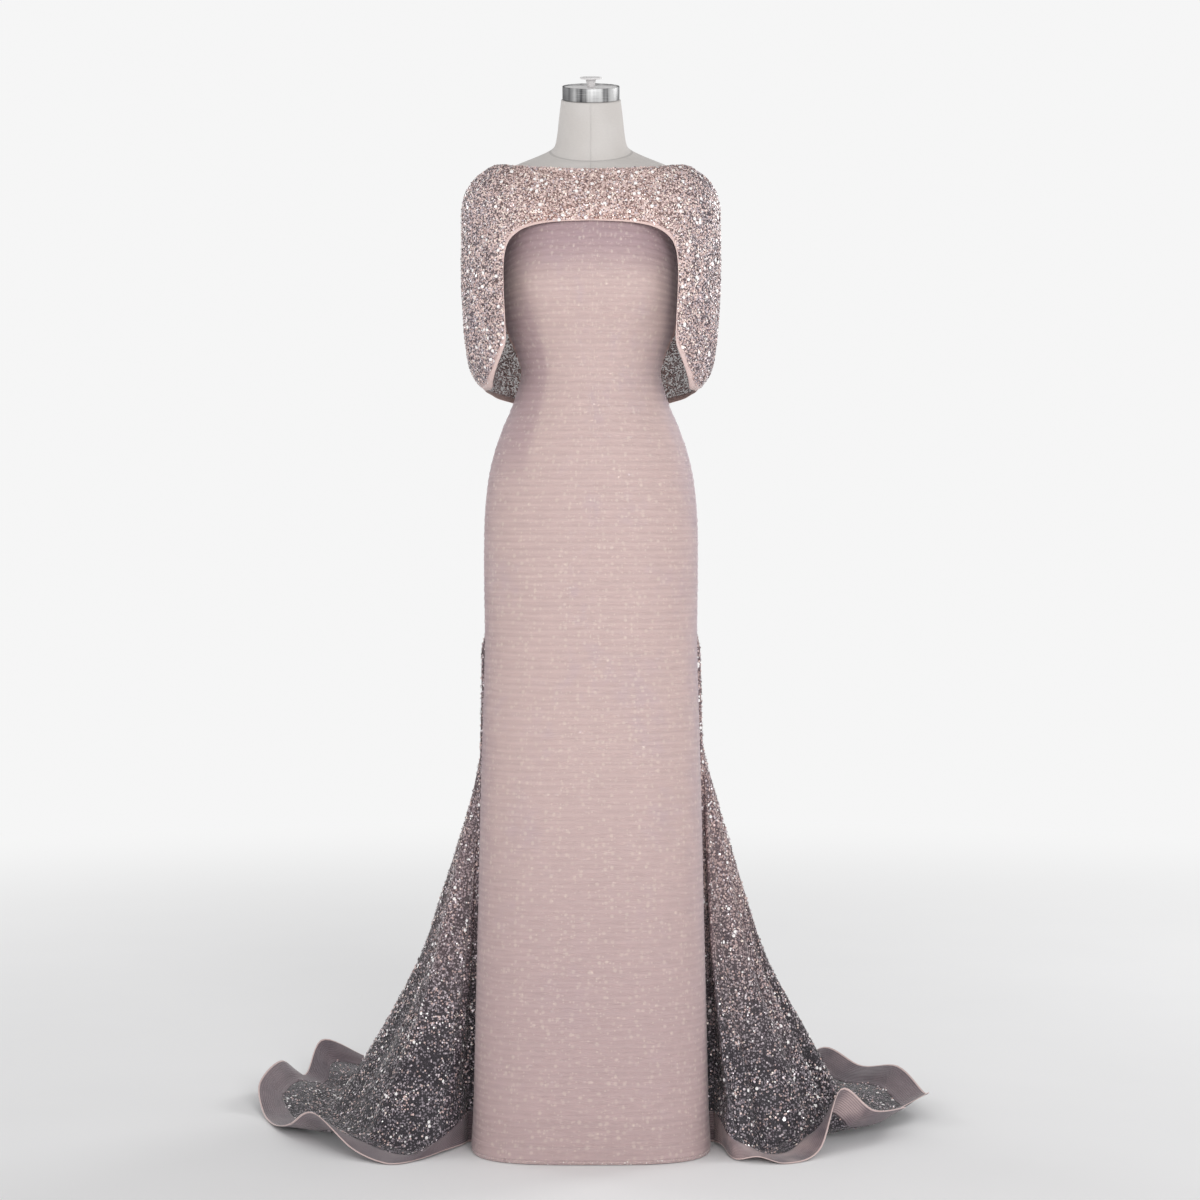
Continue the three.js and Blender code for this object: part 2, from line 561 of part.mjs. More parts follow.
// The cape is a front and a back, sewn together over the shoulders and down the arms.
function addCape() {
  const mirror = ({ neck, turn, drop }) => ({ neck: -neck, turn: -turn, drop });
  const lines = [...CAPE_EDGE, ...CAPE_EDGE.slice(1, -1).map(mirror).reverse()];
  const inner = Array.from({ length: CAPE_ROWS + 1 }, (_, row) => {
    const share = row / CAPE_ROWS;
    return lines.map(({ neck, turn, drop }) => onCape(lerp(neck, turn, share), share * drop));
  });
  const outer = moved(inner, directionsOf(inner, true), CAPE_WALL);
  const seam = CAPE_EDGE.findIndex(({ neck }) => neck === SHOULDER_SEAM);
  const back = (row) => drawnIn(row.slice(seam, lines.length - seam + 1).map((point) => point.clone()));
  const front = (row) => drawnIn([...row.slice(-seam), ...row.slice(0, seam + 1)].map((point) => point.clone()));
  for (const [name, half] of Object.entries({ front, back }))
    gown.add(piece(`cape_${name}`, wallBetween(inner.map(half), outer.map(half)), COLOURS.sequin, { roughness: 0.5 }));
}

// Every line of the column, once round.
function roundTurns() {
  const right = [...CENTRE_TURNS.filter((turn) => turn > 0), ...SIDE_TURNS.slice(1), ...BACK_TURNS.slice(1)];
  return [...mirroredTurns(right), 0, ...right, 180];
}

// A narrow binding that covers the column's top edge.
function addNeckBinding() {
  const inside = FORM_CLEARANCE + BODY_WALL + SEAM_GAP;
  const ring = (level, out) => roundTurns().map((turn) => onFigure(turn, levelAt(level, turn), out));
  const grid = (out) => [NECK_TOP + NECK_ALLOWANCE, NECK_TOP + SEAM_GAP].map((level) => ring(level, out));
  gown.add(piece("neck_binding", wallBetween(grid(inside), grid(inside + BINDING_WALL), true), COLOURS.coral));
}

function addForm() {
  const turns = roundTurns();
  const levels = [FORM_BOTTOM, ...bodyLevels().filter((level) => level > FORM_BOTTOM)];
  const bodyRings = levels.map((level) => turns.map((turn) => onFigure(turn, levelAt(level, turn), 0)));
  const neckRings = SHOULDERS.map(({ z, half, front, back, square, tip }) =>
    turns.map((turn) => {
      const point = onOval(turn, half, front, back, square);
      return point.setZ(z + point.y * Math.tan(radians(tip)));
    }),
  );
  gown.add(piece("form_torso", loft([...bodyRings, ...neckRings]), COLOURS.linen, { roughness: 0.9 }));
}

// A turned part, from its outline of [radius, height] pairs that closes on itself or ends on the axis.
function turned(outline, sides) {
  const profile = outline.map(([radius, height]) => new THREE.Vector2(radius, height));
  return new THREE.LatheGeometry(profile, sides).rotateX(Math.PI / 2);
}

function addCap() {
  const cap = new THREE.Group();
  cap.position.z = CAP.seat;
  cap.rotation.x = radians(CAP.tip);
  const metal = { roughness: 0.25, metalness: 1 };
  const inside = CAP.radius - CAP.wall;
  const band = [
    [inside, SEAM_GAP],
    [CAP.radius, SEAM_GAP],
    [CAP.radius, CAP.height],
    [inside, CAP.height],
    [inside, SEAM_GAP],
  ];
  cap.add(piece("form_cap_band", turned(band, PLATE.sides), COLOURS.steel, metal));
  const plateRadius = inside - SEAM_GAP;
  const plateTop = CAP.height - 1;
  const plate = [
    [0, SEAM_GAP],
    [plateRadius, SEAM_GAP],
    [plateRadius, plateTop],
    [0, plateTop],
  ];
  cap.add(piece("form_cap_plate", turned(plate, PLATE.sides), COLOURS.linen));
  const foot = plateTop + SEAM_GAP;
  const neck = foot + KNOB.stemHeight;
  const knob = [
    [0, foot],
    [KNOB.neck, foot],
    [KNOB.stem, neck],
    [KNOB.head, neck],
    [KNOB.head, neck + KNOB.headHeight],
    [0, neck + KNOB.headHeight],
  ];
  cap.add(piece("form_knob", turned(knob, POLE.sides), COLOURS.linen, { roughness: 0.4 }));
  gown.add(cap);
}

function addStand() {
  const metal = { roughness: 0.35, metalness: 1 };
  const plate = [
    [0, 0],
    [PLATE.radius - 2, 0],
    [PLATE.radius, 2],
    [PLATE.radius, PLATE.rim - 2],
    [PLATE.radius - 2, PLATE.rim],
    [PLATE.hub + 8, PLATE.crown],
    [PLATE.hub, PLATE.crown + 5],
    [PLATE.hub - 3, PLATE.hubHeight],
    [0, PLATE.hubHeight],
  ];
  gown.add(piece("stand_plate", turned(plate, PLATE.sides), COLOURS.iron, metal));
  const poleFoot = PLATE.hubHeight + SEAM_GAP;
  const poleTop = FORM_BOTTOM - SEAM_GAP;
  const pole = new THREE.CylinderGeometry(POLE.radius, POLE.radius, poleTop - poleFoot, POLE.sides);
  pole.rotateX(Math.PI / 2).translate(0, 0, (poleTop + poleFoot) / 2);
  gown.add(piece("stand_pole", pole, COLOURS.steel, metal));
  const bore = POLE.radius + SEAM_GAP;
  const collar = [
    [bore, poleTop - COLLAR.height],
    [COLLAR.radius - 4, poleTop - COLLAR.height],
    [COLLAR.radius, poleTop - COLLAR.height + 6],
    [COLLAR.radius, poleTop],
    [bore, poleTop],
    [bore, poleTop - COLLAR.height],
  ];
  gown.add(piece("stand_collar", turned(collar, POLE.sides), COLOURS.iron, metal));
}

addColumn();
addVeil();
addNeckBinding();
addTrain();
addCape();
addForm();
addCap();
addStand();

export default gown;
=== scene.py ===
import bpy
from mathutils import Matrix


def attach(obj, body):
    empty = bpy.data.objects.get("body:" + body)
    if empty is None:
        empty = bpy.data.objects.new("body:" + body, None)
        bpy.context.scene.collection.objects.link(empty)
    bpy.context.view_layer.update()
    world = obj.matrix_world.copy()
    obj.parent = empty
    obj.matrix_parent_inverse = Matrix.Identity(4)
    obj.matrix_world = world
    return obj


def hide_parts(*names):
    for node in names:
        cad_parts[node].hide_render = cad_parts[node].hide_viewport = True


bl_info = {
    "name": "Evening gown on a dress form",
    "version": (1, 0, 0),
    "blender": (4, 5, 0),
    "location": "View3D > Sidebar > Gown",
    "description": "Dresses the gown's frame with cloth, sequins, braid and a plain studio",
    "category": "Object",
}

from math import pi, radians

import bpy
import numpy as np
from bpy.props import FloatProperty, FloatVectorProperty, IntProperty, PointerProperty
from mathutils import Matrix, Vector

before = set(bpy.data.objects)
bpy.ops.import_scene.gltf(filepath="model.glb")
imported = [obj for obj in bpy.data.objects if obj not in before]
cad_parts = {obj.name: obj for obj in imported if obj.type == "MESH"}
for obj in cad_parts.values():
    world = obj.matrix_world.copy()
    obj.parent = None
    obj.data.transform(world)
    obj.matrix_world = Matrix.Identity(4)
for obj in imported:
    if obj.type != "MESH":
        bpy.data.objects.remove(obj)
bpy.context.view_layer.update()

# Sizes are in millimetres, and shares run from 0 to 1.
# A turn is an angle in degrees from the centre front towards +X.
MM = 0.001

# How far outside the form each layer lies, and how thick the scene's cloths are
CLOTH_INSIDE = 0.5
CLOTH_OUTSIDE = 1.7
VEIL_OUTSIDE = 3.0
VEIL_WALL = 0.5
CLOTH_WALL = CLOTH_OUTSIDE - CLOTH_INSIDE
BINDING_WALL = 0.25
CAPE_WALL = 0.7
NET_WALL = 0.6
BRAID_WALL = 1.0
TRAIN_OUT = 1.0

# The column
TUCK_PITCH = 12
TUCK_COUNT = 118
TUCK_CREST = 0.38
VEIL_HEM = 6
NECK_TOP = VEIL_HEM + TUCK_COUNT * TUCK_PITCH
NECK_ALLOWANCE = 5
COLUMN_FOOT = 0.6
PRINCESS_TURN = 35
ZIP_TURN = 2
DIP_FROM = 1250
SIDE_DIP = 40
BACK_DIP = 34
TRAIN_SEAM_SIDE = 800
TRAIN_SEAM_CENTRE = 925


def table(columns, *rows):
    """Rows of numbers as an array for each named column."""
    return dict(zip(columns.split(), np.array(rows, float).T))


# One tuck from its foot up, and how far tucks stand out at each level
TUCK_PROFILE = table("phase rise", (0, 0), (0.2, 0.72), (TUCK_CREST, 1), (0.68, 0.4), (1, 0))
TUCK_HEIGHTS = table("level rise", (0, 0.22), (620, 0.34), (860, 0.62), (1430, 0.6))
PLAIN_HEM = (24, 40)

# The figure's level sections: half its width, its depth to the front and to the back, and how square it is
FIGURE = table(
    "z half front back square",
    (0, 183, 137, 130, 3.3),
    (60, 179.5, 134, 128, 3.2),
    (220, 175.5, 127, 124, 3.1),
    (375, 171.5, 121, 120, 3.0),
    (527, 168, 116, 118, 2.9),
    (681, 163.5, 112, 118, 2.75),
    (774, 161, 109, 120, 2.6),
    (855, 161.5, 108, 124, 2.5),
    (913, 162, 107, 126, 2.45),
    (974, 160.8, 106, 125, 2.4),
    (1006, 158.5, 105, 121, 2.35),
    (1045, 152.7, 103, 113, 2.3),
    (1079, 144.2, 100, 103, 2.3),
    (1113, 132.2, 95.5, 92, 2.25),
    (1142, 119.5, 91, 85, 2.2),
    (1184, 106, 86, 80, 2.15),
    (1199, 104.5, 85.5, 79, 2.15),
    (1227, 112.5, 89, 82, 2.15),
    (1256, 125, 96, 88, 2.2),
    (1300, 133.5, 107, 97, 2.25),
    (1346, 135, 108, 103, 2.3),
    (1392, 131, 104, 104, 2.3),
    (1432, 134, 97, 100, 2.3),
)
BUST_TURN, BUST_TURN_SPREAD = 33, 17
BUST_Z, BUST_Z_SPREAD = 1322, 38
BUST_RISE = 9

SHOULDERS = table(
    "z half front back square tip",
    (1450, 146, 92, 95, 2.3, 0),
    (1468, 160, 85, 89, 2.3, 0),
    (1482, 164, 79, 82, 2.2, 0),
    (1493, 156, 72, 75, 2.1, 0),
    (1502, 141, 66, 69, 2, 2),
    (1511, 125, 62, 64, 2, 5),
    (1520, 104, 59, 60, 2, 10),
    (1529, 79, 56, 57, 2, 16),
    (1535, 64, 53.5, 55, 2, 21),
    (1542, 56.5, 52.5, 53, 2, 23),
    (1561, 52, 50.5, 51, 2, 21),
    (1588, 49, 48, 48.5, 2, 17.5),
    (1615, 45.6, 45.6, 45.6, 2, 14.5),
)
FORM_BOTTOM = 795
BETWEEN_LEVELS = (1435, 1443)  # two rows that join the body to the shoulders
NECK_SEAM_Z = 1536  # where the neck is sewn to the shoulders

CAP_RADIUS = 43.8
CAP_WALL = 2
CAP_HEIGHT = 20.6
CAP_SEAT = 1615.4
CAP_TIP = 14.5
CAP_GAP = 0.3
CAP_SIDES, KNOB_SIDES = 96, 48
PLATE_SINK, KNOB_SINK = 1.3, 0.7
KNOB_NECK, KNOB_STEM, KNOB_HEAD = 5.5, 8.4, 17
KNOB_STEM_HEIGHT, KNOB_HEAD_HEIGHT = 12, 2.2

# The cape's sections from the neck down, and where each line of cloth leaves the neck and ends
CAPE = table(
    "drop side sideZ front frontZ back backZ square",
    (0, 128, 1510.4, 73, 1501, 76, 1505, 2.15),
    (1, 146, 1512.5, 81, 1487, 86, 1492, 2.2),
    (2, 167.5, 1500.5, 90, 1471, 95, 1474, 2.2),
    (3, 186, 1479, 98.5, 1450, 104, 1448, 2.25),
    (4, 195, 1451, 105, 1429, 111, 1417, 2.3),
    (5, 196, 1414, 110.5, 1405, 116, 1380, 2.4),
    (6, 196.5, 1347, 126, 1340, 122, 1322, 2.5),
    (7, 194.5, 1287, 129, 1280, 128, 1268, 2.5),
    (8, 191, 1241, 129, 1232, 135, 1220, 2.45),
    (9, 181, 1194, 124, 1192, 141, 1178, 2.35),
    (10, 150, 1156, 112, 1162, 145, 1140, 2.2),
)
CAPE_EDGE = table(
    "at neck turn drop",
    (0, 0, 0, 4.5),
    (1, 11, 11, 4.6),
    (2, 22, 21, 4.8),
    (3, 32, 29, 5.05),
    (4, 40, 34.5, 5.35),
    (5, 47, 36.6, 5.8),
    (6, 52, 36.8, 6.5),
    (7, 57, 36.6, 7.2),
    (8, 62, 37.3, 7.9),
    (9, 67, 43, 8.5),
    (10, 72, 49.5, 8.97),
    (11, 77, 55.6, 9.27),
    (12, 84, 65.2, 9.6),
    (13, 92, 77, 9.64),
    (14, 101, 92, 9.67),
    (15, 114, 109, 9.74),
    (16, 130, 127, 9.86),
    (17, 147, 145, 9.95),
    (18, 164, 163, 10),
    (19, 180, 180, 10),
)
CAPE_SEAM = 13  # the line where the cape's front meets its back
CAPE_LAST = 19
TURNS_PER_DROP = 14
CAPE_OUT = 1.1  # how far the scene's cape lies outside its sections
CAPE_FOLDS = table(
    "turn drop toTurn toDrop spread rise",
    (42, 5.4, 70, 7.6, 0.5, 4),
    (47, 6.3, 66, 8.4, 0.45, -3),
    (128, 4, 118, 9.6, 0.6, 5),
    (152, 3.5, 150, 9.8, 0.6, -4),
    (58, 3.6, 82, 6.4, 0.34, 1.5),
    (88, 2.4, 96, 8.6, 0.3, 1.8),
    (104, 3, 101, 9.3, 0.3, -1.6),
    (140, 5, 134, 9.9, 0.35, 1.7),
    (171, 4, 168, 9.9, 0.4, 1.8),
)

# The train's free edge, from the left side seam round the back to the right one: x, y, z and the net's fold
HEM_KNOTS = (
    (-191, 5, 1, 0),
    (-203, -24, 2, 0),
    (-226, -66, 4, 0),
    (-262, -112, 2, -3),
    (-303, -136, 1, -4),
    (-362, -104, 16, 4),
    (-429, -42, 58, 14),
    (-474, 24, 24, -8),
    (-508, 104, 5, 2),
    (-536, 186, 8, -8),
    (-550, 262, 38, 8),
    (-524, 350, 56, 12),
    (-494, 432, 14, -10),
    (-470, 498, 62, 12),
    (-396, 516, 28, 2),
    (-338, 548, 3, -12),
    (-272, 580, 50, 13),
    (-204, 596, 3, -12),
    (-132, 622, 54, 13),
    (-64, 626, 3, -11),
    (0, 640, 46, 12),
    (66, 624, 3, -12),
    (136, 618, 56, 13),
    (206, 590, 3, -12),
    (274, 576, 48, 12),
    (342, 532, 3, -12),
    (402, 462, 56, 12),
    (458, 386, 40, -2),
    (512, 306, 56, 10),
    (546, 228, 30, 2),
    (544, 164, 42, 6),
    (498, 116, 30, -8),
    (494, 46, 46, 6),
    (440, -8, 54, 4),
    (386, -38, 94, 16),
    (350, -94, 14, -8),
    (298, -131, 1, 6),
    (254, -124, 9, -8),
    (219, -106, 1, -2),
    (203, -44, 7, 2),
    (191, 5, 1, 0),
)
HEM = table("at x y z fold", *((at, *knot) for at, knot in enumerate(HEM_KNOTS)))
BRAID_WIDTH = 50
PLEAT_TURN = 1.6
SEAM_TURN = 0.12
# Shares of the way down to the floor, with the share of the way out that each side has gone there
TRAIN_LEVELS = table(
    "down left right",
    (0, 0, 0),
    (0.05, 0.0067, 0.014),
    (0.15, 0.042, 0.066),
    (0.28, 0.119, 0.166),
    (0.42, 0.226, 0.296),
    (0.56, 0.35, 0.408),
    (0.7, 0.474, 0.542),
    (0.84, 0.665, 0.765),
    (0.94, 0.86, 0.905),
    (1, 1, 1),
)
TRAIN_ROWS = [0, 1, 2, 3, 4, 5, 6, 7, 8, 9, 9.6, 10, 10.5, 11]  # foot of the net at 10, free edge at 11
LANDING_SEAM, LANDING_OPEN, LANDING_OVER = 1, 0.78, 0.12
STAND_OFF = 7
LANDING_LIFT = 2.2
LANDING_RIPPLE = 0.15
BRAID_LIFT = 0.4
BRAID_STEEPEST = 0.88
FLUTE_FROM = 0.12
EDGE_FLOOR = 1.3
NET_FLOOR = 1.0
# Finer creases of the train: where along the hem, how wide, how far out, and from where to where down it
TRAIN_CREASES = table(
    "at spread rise start end",
    (1.3, 0.3, 3.5, 0.25, 0.9),
    (2.4, 0.34, -4, 0.3, 0.95),
    (3.3, 0.3, 4, 0.35, 1),
    (4.5, 0.35, -4.5, 0.3, 0.9),
    (5.6, 0.3, 4, 0.45, 1),
    (7.4, 0.35, 4, 0.4, 1),
    (9.6, 0.4, -4.5, 0.35, 0.95),
    (12.5, 0.35, 4, 0.4, 1),
    (14.6, 0.4, -4, 0.3, 0.9),
    (18.4, 0.35, 4, 0.35, 1),
    (21.5, 0.4, -4, 0.3, 0.95),
    (24.6, 0.35, 4, 0.35, 0.95),
    (27.4, 0.4, -4.5, 0.3, 1),
    (30.5, 0.35, 4, 0.4, 0.95),
    (32.6, 0.3, -4, 0.35, 1),
    (35.4, 0.26, 6, 0.2, 0.95),
    (36.2, 0.24, -7, 0.2, 0.9),
    (37.1, 0.24, 7, 0.15, 0.92),
    (37.9, 0.22, -6, 0.2, 0.9),
    (38.7, 0.22, 5, 0.15, 0.85),
)

# The photograph's view
CAMERA_PLACE = (0.0139, -4.12, 1.0)
CAMERA_PITCH = 87.87
CAMERA_LENS = 80
SENSOR = 36
HORIZON = 0.92  # the light level with the camera
SKY = ((0.0, HORIZON), (0.26, HORIZON), (0.6, 0.42), (1.0, 0.55))
FLOOR_RADIUS = 24
FLOOR_LEVEL = -0.0005
FLOOR_FADE = (1.2, 4.2)  # where the floor turns into the horizon's light
# Each light's name, place, aim and width in metres, and power in watts
LIGHTS = (
    ("key", (1.25, -4.4, 1.95), (0, 0, 0.85), 1.8, 74),
    ("fill", (-1.6, -4.6, 1.3), (0, 0, 0.8), 1.8, 22),
    ("rim_right", (2.6, 1.9, 2.3), (0, 0.1, 0.8), 1.4, 30),
    ("rim_left", (-2.6, 1.9, 2.3), (0, 0.1, 0.8), 1.4, 16),
)

# How sequins sit on the cloth, and how many are large
SEQUIN_LIFT = 0.35
SEQUIN_LEAN = 0.4
BRIGHT_TILT = 0.12
FLOOR_GAP = 0.4  # how far sequins stay above the floor
ROW_IN_TUCK = 0.84
ROW_SPREAD = 1.4
COLUMN_TILT, CAPE_TILT, TRAIN_TILT = 0.1, 0.27, 0.3
CAPE_LARGE_SHARE, TRAIN_LARGE_SHARE = 0.006, 0.016
# Some of the train's sequins face inwards, and most of those behind the form get the dark slate foil as
# painted shade
INSIDE_SHARE = 0.22
REAR_FROM = 60
REAR_SHADED_SHARE = 0.75

# Cells of chips for each metre, ribs across the braid, and painted glint dots across and up the veil
CAPE_CHIPS, TRAIN_CHIPS = 400, 300
BRAID_RIBS = 13
VEIL_GLINT_DOTS = (46, TUCK_COUNT, 0)
VEIL_GLINT_SPECKS = (105, 266, 0)

SEEDS = {
    "veil": 3,
    "column": 11,
    "back_right": 21,
    "back_left": 22,
    "cape_front": 31,
    "cape_back": 32,
    "train_left": 41,
    "train_right": 42,
}
LEAST_AREA = 0.31  # of a sheet's width times its length

SHARP_ANGLE = radians(35)
FACES_END = 0.9  # how straight up or down a cylinder's end looks


# Shapes


def smoothstep(value, low, high):
    share = np.clip((np.asarray(value, float) - low) / (high - low), 0, 1)
    return share * share * (3 - 2 * share)


def lerp(start, end, share):
    return start + (end - start) * share


def points(x, y, z):
    return np.stack(np.broadcast_arrays(x, y, z), -1).astype(float)


def unit(vectors):
    return vectors / np.maximum(np.linalg.norm(vectors, axis=-1, keepdims=True), 1e-9)


def along(at, values, places):
    """Values known at some places, read at others on a smooth curve that is held at its ends."""
    places = np.asarray(places, float)
    low = np.clip(np.searchsorted(at, places, side="right") - 1, 0, len(at) - 2)
    high = low + 1
    before = np.maximum(low - 1, 0)
    after = np.minimum(high + 1, len(at) - 1)

    def wide(array):
        return array.reshape(array.shape + (1,) * (values.ndim - 1))

    span = wide(at[high] - at[low])
    share = np.clip(wide(places - at[low]) / span, 0, 1)
    start_slope = span * (values[high] - values[before]) / wide(at[high] - at[before])
    end_slope = span * (values[after] - values[low]) / wide(at[after] - at[low])
    square, cube = share**2, share**3
    start = (2 * cube - 3 * square + 1) * values[low] + (cube - 2 * square + share) * start_slope
    return start + (3 * square - 2 * cube) * values[high] + (cube - square) * end_slope


def read(rows, key, places):
    return {name: along(rows[key], column, places) for name, column in rows.items()}


def on_oval(turn, half, front, back, square):
    sine = np.sin(np.radians(turn))
    cosine = np.cos(np.radians(turn))
    x = half * np.sign(sine) * np.abs(sine) ** (2 / square)
    y = np.abs(cosine) ** (2 / square) * np.where(cosine > 0, -front, back)
    return x, y


def from_front(turn):
    return np.abs((np.asarray(turn, float) + 180) % 360 - 180)


def on_figure(turn, z, out):
    """Points on the figure, out millimetres outside it."""
    turn, z = np.broadcast_arrays(np.asarray(turn, float), np.asarray(z, float))
    row = read(FIGURE, "z", z)
    across = (from_front(turn) - BUST_TURN) / BUST_TURN_SPREAD
    up = (z - BUST_Z) / BUST_Z_SPREAD
    grown = out + BUST_RISE * np.exp(-(across**2) - up**2)
    x, y = on_oval(turn, row["half"] + grown, row["front"] + grown, row["back"] + grown, row["square"])
    return points(x, y, z)


def neck_dip(turn):
    away = from_front(turn)
    side = SIDE_DIP * (1 - np.cos(np.radians(np.minimum(away, 90)))) ** 1.5
    back = BACK_DIP * np.sin(np.radians(np.clip(away - 90, 0, 90))) ** 2
    return side + back


def level_at(level, turn):
    return level - neck_dip(turn) * smoothstep(level, DIP_FROM, NECK_TOP)


def even_turns(start, end, count, z=600):
    """Turns that part the figure's outline into equal lengths."""
    turns = np.linspace(start, end, 4000)
    outline = on_figure(turns, z, 0)
    steps = np.linalg.norm(np.diff(outline, axis=0), axis=1)
    lengths = np.concatenate([[0], np.cumsum(steps)])
    return np.interp(np.linspace(0, lengths[-1], count), lengths, turns)


PRINCESS_SHARE = float(np.interp(PRINCESS_TURN, even_turns(0, 90, 500), np.linspace(0, 0.5, 500)))


def figure_grid(turns, levels, out):
    level, turn = np.meshgrid(levels, turns, indexing="ij")
    return on_figure(turn, level_at(level, turn), out)


def shares_of(grid):
    """Even texture shares over a grid, across and along."""
    rows, columns = grid.shape[:2]
    v, u = np.meshgrid(np.linspace(0, 1, rows), np.linspace(0, 1, columns), indexing="ij")
    return np.stack([u, v], -1)


def normals_of(grid):
    across = np.gradient(grid, axis=1)
    up = np.gradient(grid, axis=0)
    return unit(np.cross(across, up))


def waver(across, phases, turns=(1.3, 3.1, 7.3), sizes=(0.5, 0.3, 0.2)):
    """Slow uneven waves across a cloth, a different one for each row."""
    total = 0
    for i, (count, size) in enumerate(zip(turns, sizes)):
        total = total + size * np.sin(2 * pi * (count * across + phases[..., i]))
    return total


def veil_grid(turns):
    """The tulle, drawn into level tucks that waver and fade as hand-set ones do."""
    random = np.random.default_rng(SEEDS["veil"])
    phases = random.random((TUCK_COUNT, 3))
    drift = random.random((TUCK_COUNT, 3))
    row_phases = TUCK_PROFILE["phase"][:-1]
    tuck = np.append(np.repeat(np.arange(TUCK_COUNT), len(row_phases)), TUCK_COUNT - 1)
    phase = np.append(np.tile(row_phases, TUCK_COUNT), 1)
    across = np.linspace(0, 1, len(turns))[None, :]
    height = np.interp(phase, *TUCK_PROFILE.values())
    level = (VEIL_HEM + (tuck + phase) * TUCK_PITCH)[:, None]
    plain_hem = smoothstep(level, *PLAIN_HEM)
    strength = np.clip(0.85 + 0.75 * waver(across, phases[tuck][:, None]), 0.1, 1.8)
    rise = height[:, None] * np.interp(level, *TUCK_HEIGHTS.values()) * strength * plain_hem
    shift = 1.5 * waver(across, drift[tuck][:, None]) * np.sin(phase * pi)[:, None] * plain_hem
    levels = level + shift
    turn = np.broadcast_to(turns[None, :], levels.shape)
    grid = on_figure(turn, level_at(levels, turn), VEIL_OUTSIDE + rise)
    shares = np.stack(np.broadcast_arrays(across, (level - VEIL_HEM) / (NECK_TOP - VEIL_HEM)), -1)
    return grid, shares


def train_seam_level(turn):
    return lerp(TRAIN_SEAM_SIDE, TRAIN_SEAM_CENTRE, from_front(turn) / 90 - 1)


def on_train_seam(turn, out):
    return on_figure(turn, train_seam_level(turn), out)


def train_rows(share):
    """The train's main rows, from the seam to the free edge, for shares along the hem."""
    turn = lerp(270 - PLEAT_TURN, 90 + PLEAT_TURN, share)
    fall = (1 - smoothstep(np.minimum(share, 1 - share), 0, LANDING_OVER))[:, None]
    hem = read(HEM, "at", share * HEM["at"][-1])
    edge = points(hem["x"], hem["y"], np.maximum(hem["z"], EDGE_FLOOR))
    fold = hem["fold"][:, None]
    top = on_train_seam(turn, TRAIN_OUT)
    outward = unit((edge - top) * (1, 1, 0))
    lift = np.maximum(BRAID_LIFT * edge[:, 2], edge[:, 2] - BRAID_STEEPEST * BRAID_WIDTH)
    run = np.sqrt(BRAID_WIDTH**2 - (edge[:, 2] - lift) ** 2)[:, None]
    foot = edge - outward * run * (1 - fall)
    foot[:, 2] = lerp(LANDING_LIFT + lift, BRAID_WIDTH, fall[:, 0])
    landing = lerp(top, foot, lerp(LANDING_OPEN, LANDING_SEAM, fall))
    landing[:, 2] = lerp(LANDING_LIFT + LANDING_RIPPLE * edge[:, 2], BRAID_WIDTH * 2, fall[:, 0])
    rows = []
    for down, left, right in zip(*TRAIN_LEVELS.values()):
        point = lerp(top, landing, lerp(left, right, share)[:, None])
        point[:, 2] = lerp(top[:, 2], landing[:, 2], down)
        stand_off = STAND_OFF * fall[:, 0] * smoothstep(down, 0, TRAIN_LEVELS["down"][1])
        point[:, 0] += np.sign(point[:, 0]) * stand_off
        fluted = fold * smoothstep(down, FLUTE_FROM, 0.9) * (1 - 0.5 * smoothstep(down, 0.9, 1))
        rows.append(point + outward * (fluted + creases(share, down)[:, None]))
    rows += [lerp(landing, foot, 0.55), foot, lerp(foot, edge, 0.5), edge]
    return np.array(rows)


def creases(share, down):
    at = share * HEM["at"][-1]
    total = np.zeros_like(at)
    for place, spread, rise, start, end in zip(*TRAIN_CREASES.values()):
        middle = (start + end) / 2
        length = smoothstep(down, start, middle) * (1 - smoothstep(down, end - 0.08, end + 0.06))
        total += rise * length * np.exp(-(((at - place) / spread) ** 2))
    return total


def side_line(beside, turn):
    heights = beside[:, 2].copy()
    heights[0] = train_seam_level(turn)
    return on_figure(turn, heights, TRAIN_OUT)


def train_grid(row_places, columns_per_half=150):
    """The train from the seam, row 0, past the foot of the net, row 10, to the free edge, row 11."""
    share = np.linspace(0, 1, columns_per_half * 2 + 1)
    rows = train_rows(share)
    left = side_line(rows[:, 0], 270 - SEAM_TURN)
    right = side_line(rows[:, -1], 90 + SEAM_TURN)
    rows = np.concatenate([left[:, None], rows, right[:, None]], axis=1)
    grid = along(np.array(TRAIN_ROWS), rows, np.asarray(row_places, float))
    grid[..., 2] = np.maximum(grid[..., 2], NET_FLOOR)
    return grid


def cape_fold(turn, drop):
    at = np.stack(np.broadcast_arrays(from_front(turn) / TURNS_PER_DROP, drop), -1)
    total = 0
    for start_turn, start_drop, end_turn, end_drop, spread, rise in zip(*CAPE_FOLDS.values()):
        start = np.array([start_turn / TURNS_PER_DROP, start_drop])
        run = np.array([end_turn / TURNS_PER_DROP, end_drop]) - start
        share = np.clip(((at - start) @ run) / (run @ run), 0, 1)
        away = np.linalg.norm(at - (start + run * share[..., None]), axis=-1) / spread
        total = total + rise * np.exp(-(away**2))
    return total


def on_cape(turn, drop):
    row = read(CAPE, "drop", drop)
    sideways = np.sin(np.radians(turn)) ** 2
    middle = np.where(from_front(turn) < 90, row["frontZ"], row["backZ"])
    fold = cape_fold(turn, drop)
    x, y = on_oval(turn, row["side"] + fold, row["front"] + fold, row["back"] + fold, row["square"])
    return points(x, y, lerp(middle, row["sideZ"], sideways))


